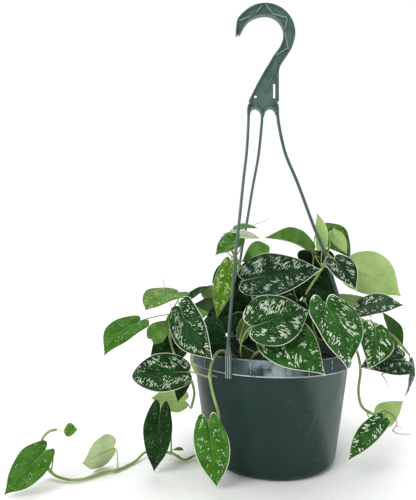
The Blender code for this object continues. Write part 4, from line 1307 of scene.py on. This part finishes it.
def floor(finish):
    """A wide level sheet just under the pot."""
    corners = [(x * FLOOR_HALF, y * FLOOR_HALF, -FLOOR_DROP) for x, y in ((-1, -1), (1, -1), (1, 1), (-1, 1))]
    mesh = bpy.data.meshes.new("studio_floor")
    mesh.from_pydata(corners, [], [(0, 1, 2, 3)])
    mesh.materials.append(finish)
    linked("studio_floor", mesh)


def surroundings():
    """White to the eye, but lighting the plant more from behind and from its two sides: the strength
    runs smoothly from the front to the back, plus the eighth power of the sideways direction."""
    world = bpy.data.worlds.new("white_studio")
    bpy.context.scene.world = world
    world.use_nodes = True
    nodes = Nodes(world.node_tree)
    x, y, _ = nodes.parts(nodes.field("Generated", "TexCoord"))
    ramp = nodes.add("MapRange", Value=y)
    for key, value in (("From Min", -0.7), ("From Max", 0.5), ("To Min", FRONT_GLOW), ("To Max", BACK_GLOW)):
        ramp.inputs[key].default_value = value
    glow = x**8.0 * SIDE_GLOW + Field(nodes, ramp.outputs["Result"])
    seen = nodes.field("Is Camera Ray", "LightPath")
    sky = nodes.tree.nodes["Background"]
    sky.inputs["Color"].default_value = (1, 1, 1, 1)
    nodes.put(sky.inputs["Strength"], glow * (1.0 - seen) + seen * EYE_WHITE)


def studio():
    """The surroundings, three soft lights, each shining from one side and spread over so many degrees
    of sky, and the camera that looks level past the rim."""
    surroundings()
    for name, (side, strength, spread) in SUNS.items():
        light = bpy.data.lights.new(name, "SUN")
        light.energy = strength
        light.angle = math.radians(spread)
        x, y, z = side
        sun = linked(name, light)
        sun.location = side
        sun.rotation_euler = (math.atan2(math.hypot(x, y), z), 0, math.atan2(y, x) + math.pi / 2)
    camera = bpy.data.cameras.new("camera")
    for key, value in CAMERA.items():
        setattr(camera, key, value)
    view = linked("camera", camera)
    view.location = CAMERA_PLACE
    view.rotation_euler = (math.pi / 2, 0, 0)
    bpy.context.scene.camera = view
    bpy.context.scene.view_settings.view_transform = "Standard"


def pot_and_mix():
    """The pot and the potting mix with its bits of bark and perlite."""
    pot_shell(pot_finish())
    # The peat and bark are near black: partly their own colour when damp, partly painted shade inside the pot
    # under the leaves
    peat = ((0.002, 0.002, 0.001), (0.006, 0.006, 0.003), (0.04, 0.034, 0.018))
    mix_bed(soil_finish("peat_and_bark_finish", *peat))
    bark = bit_finish("bark_bits_finish", (0.003, 0.003, 0.002), (0.03, 0.026, 0.014))
    scattered("bark_bits", 900, ((1.0, 3.8), (0.7, 2.2), (0.5, 1.2)), bark, 7, 0.3)
    perlite = bit_finish("perlite_finish", (0.45, 0.44, 0.4), (0.75, 0.74, 0.7))
    scattered("perlite_bits", 70, ((0.5, 1.3), (0.5, 1.2), (0.5, 1.1)), perlite, 11, 0.4)


def plant():
    """Every leaf with its looks, the shaded leaves, every stem and the dried roots."""
    upper = {key: upper_finish(f"satin_upper_{key}", *look) for key, look in UPPER.items()}
    under = {key: under_finish(f"satin_under_{key}", *look) for key, look in UNDER.items()}
    stalk = bar_finish("leaf_stalk", (0.34, 0.46, 0.17), (0.17, 0.26, 0.08))
    pale_stalk = bar_finish("pale_leaf_stalk", (0.5, 0.64, 0.28), (0.36, 0.5, 0.18))
    green_stem = bar_finish("green_stem_finish", (0.38, 0.5, 0.19), (0.17, 0.27, 0.08))
    for seed, (name, row) in enumerate(LEAVES.items(), 1):
        *spec, above, below = row
        looks = [upper[above], under[below], pale_stalk if below in PALE_BELOW else stalk]
        leaf = grown(Shape(), spec, seed, SHAPES.get(name, {}))
        leaf.made(f"{name}_blade", looks, "leaf", [f"{name}_leaf"])
    inner = Shape()
    for seed, spec in enumerate(INNER, len(LEAVES) + 1):
        grown(inner, spec, seed, {})
    inner.made("inner_leaves", [upper["shaded"], under["soft"], stalk], "leaf")
    for name, points in STEMS.items():
        stem(name, points, [row[1] for row in LEAVES.values() if row[0] == name], green_stem)
    roots(bar_finish("dried_root", (0.2, 0.2, 0.13), (0.1, 0.09, 0.06)))


floor(floor_finish())
studio()
pot_and_mix()
moulding = hanger_finish()
hook(moulding)
strands(moulding)
plant()
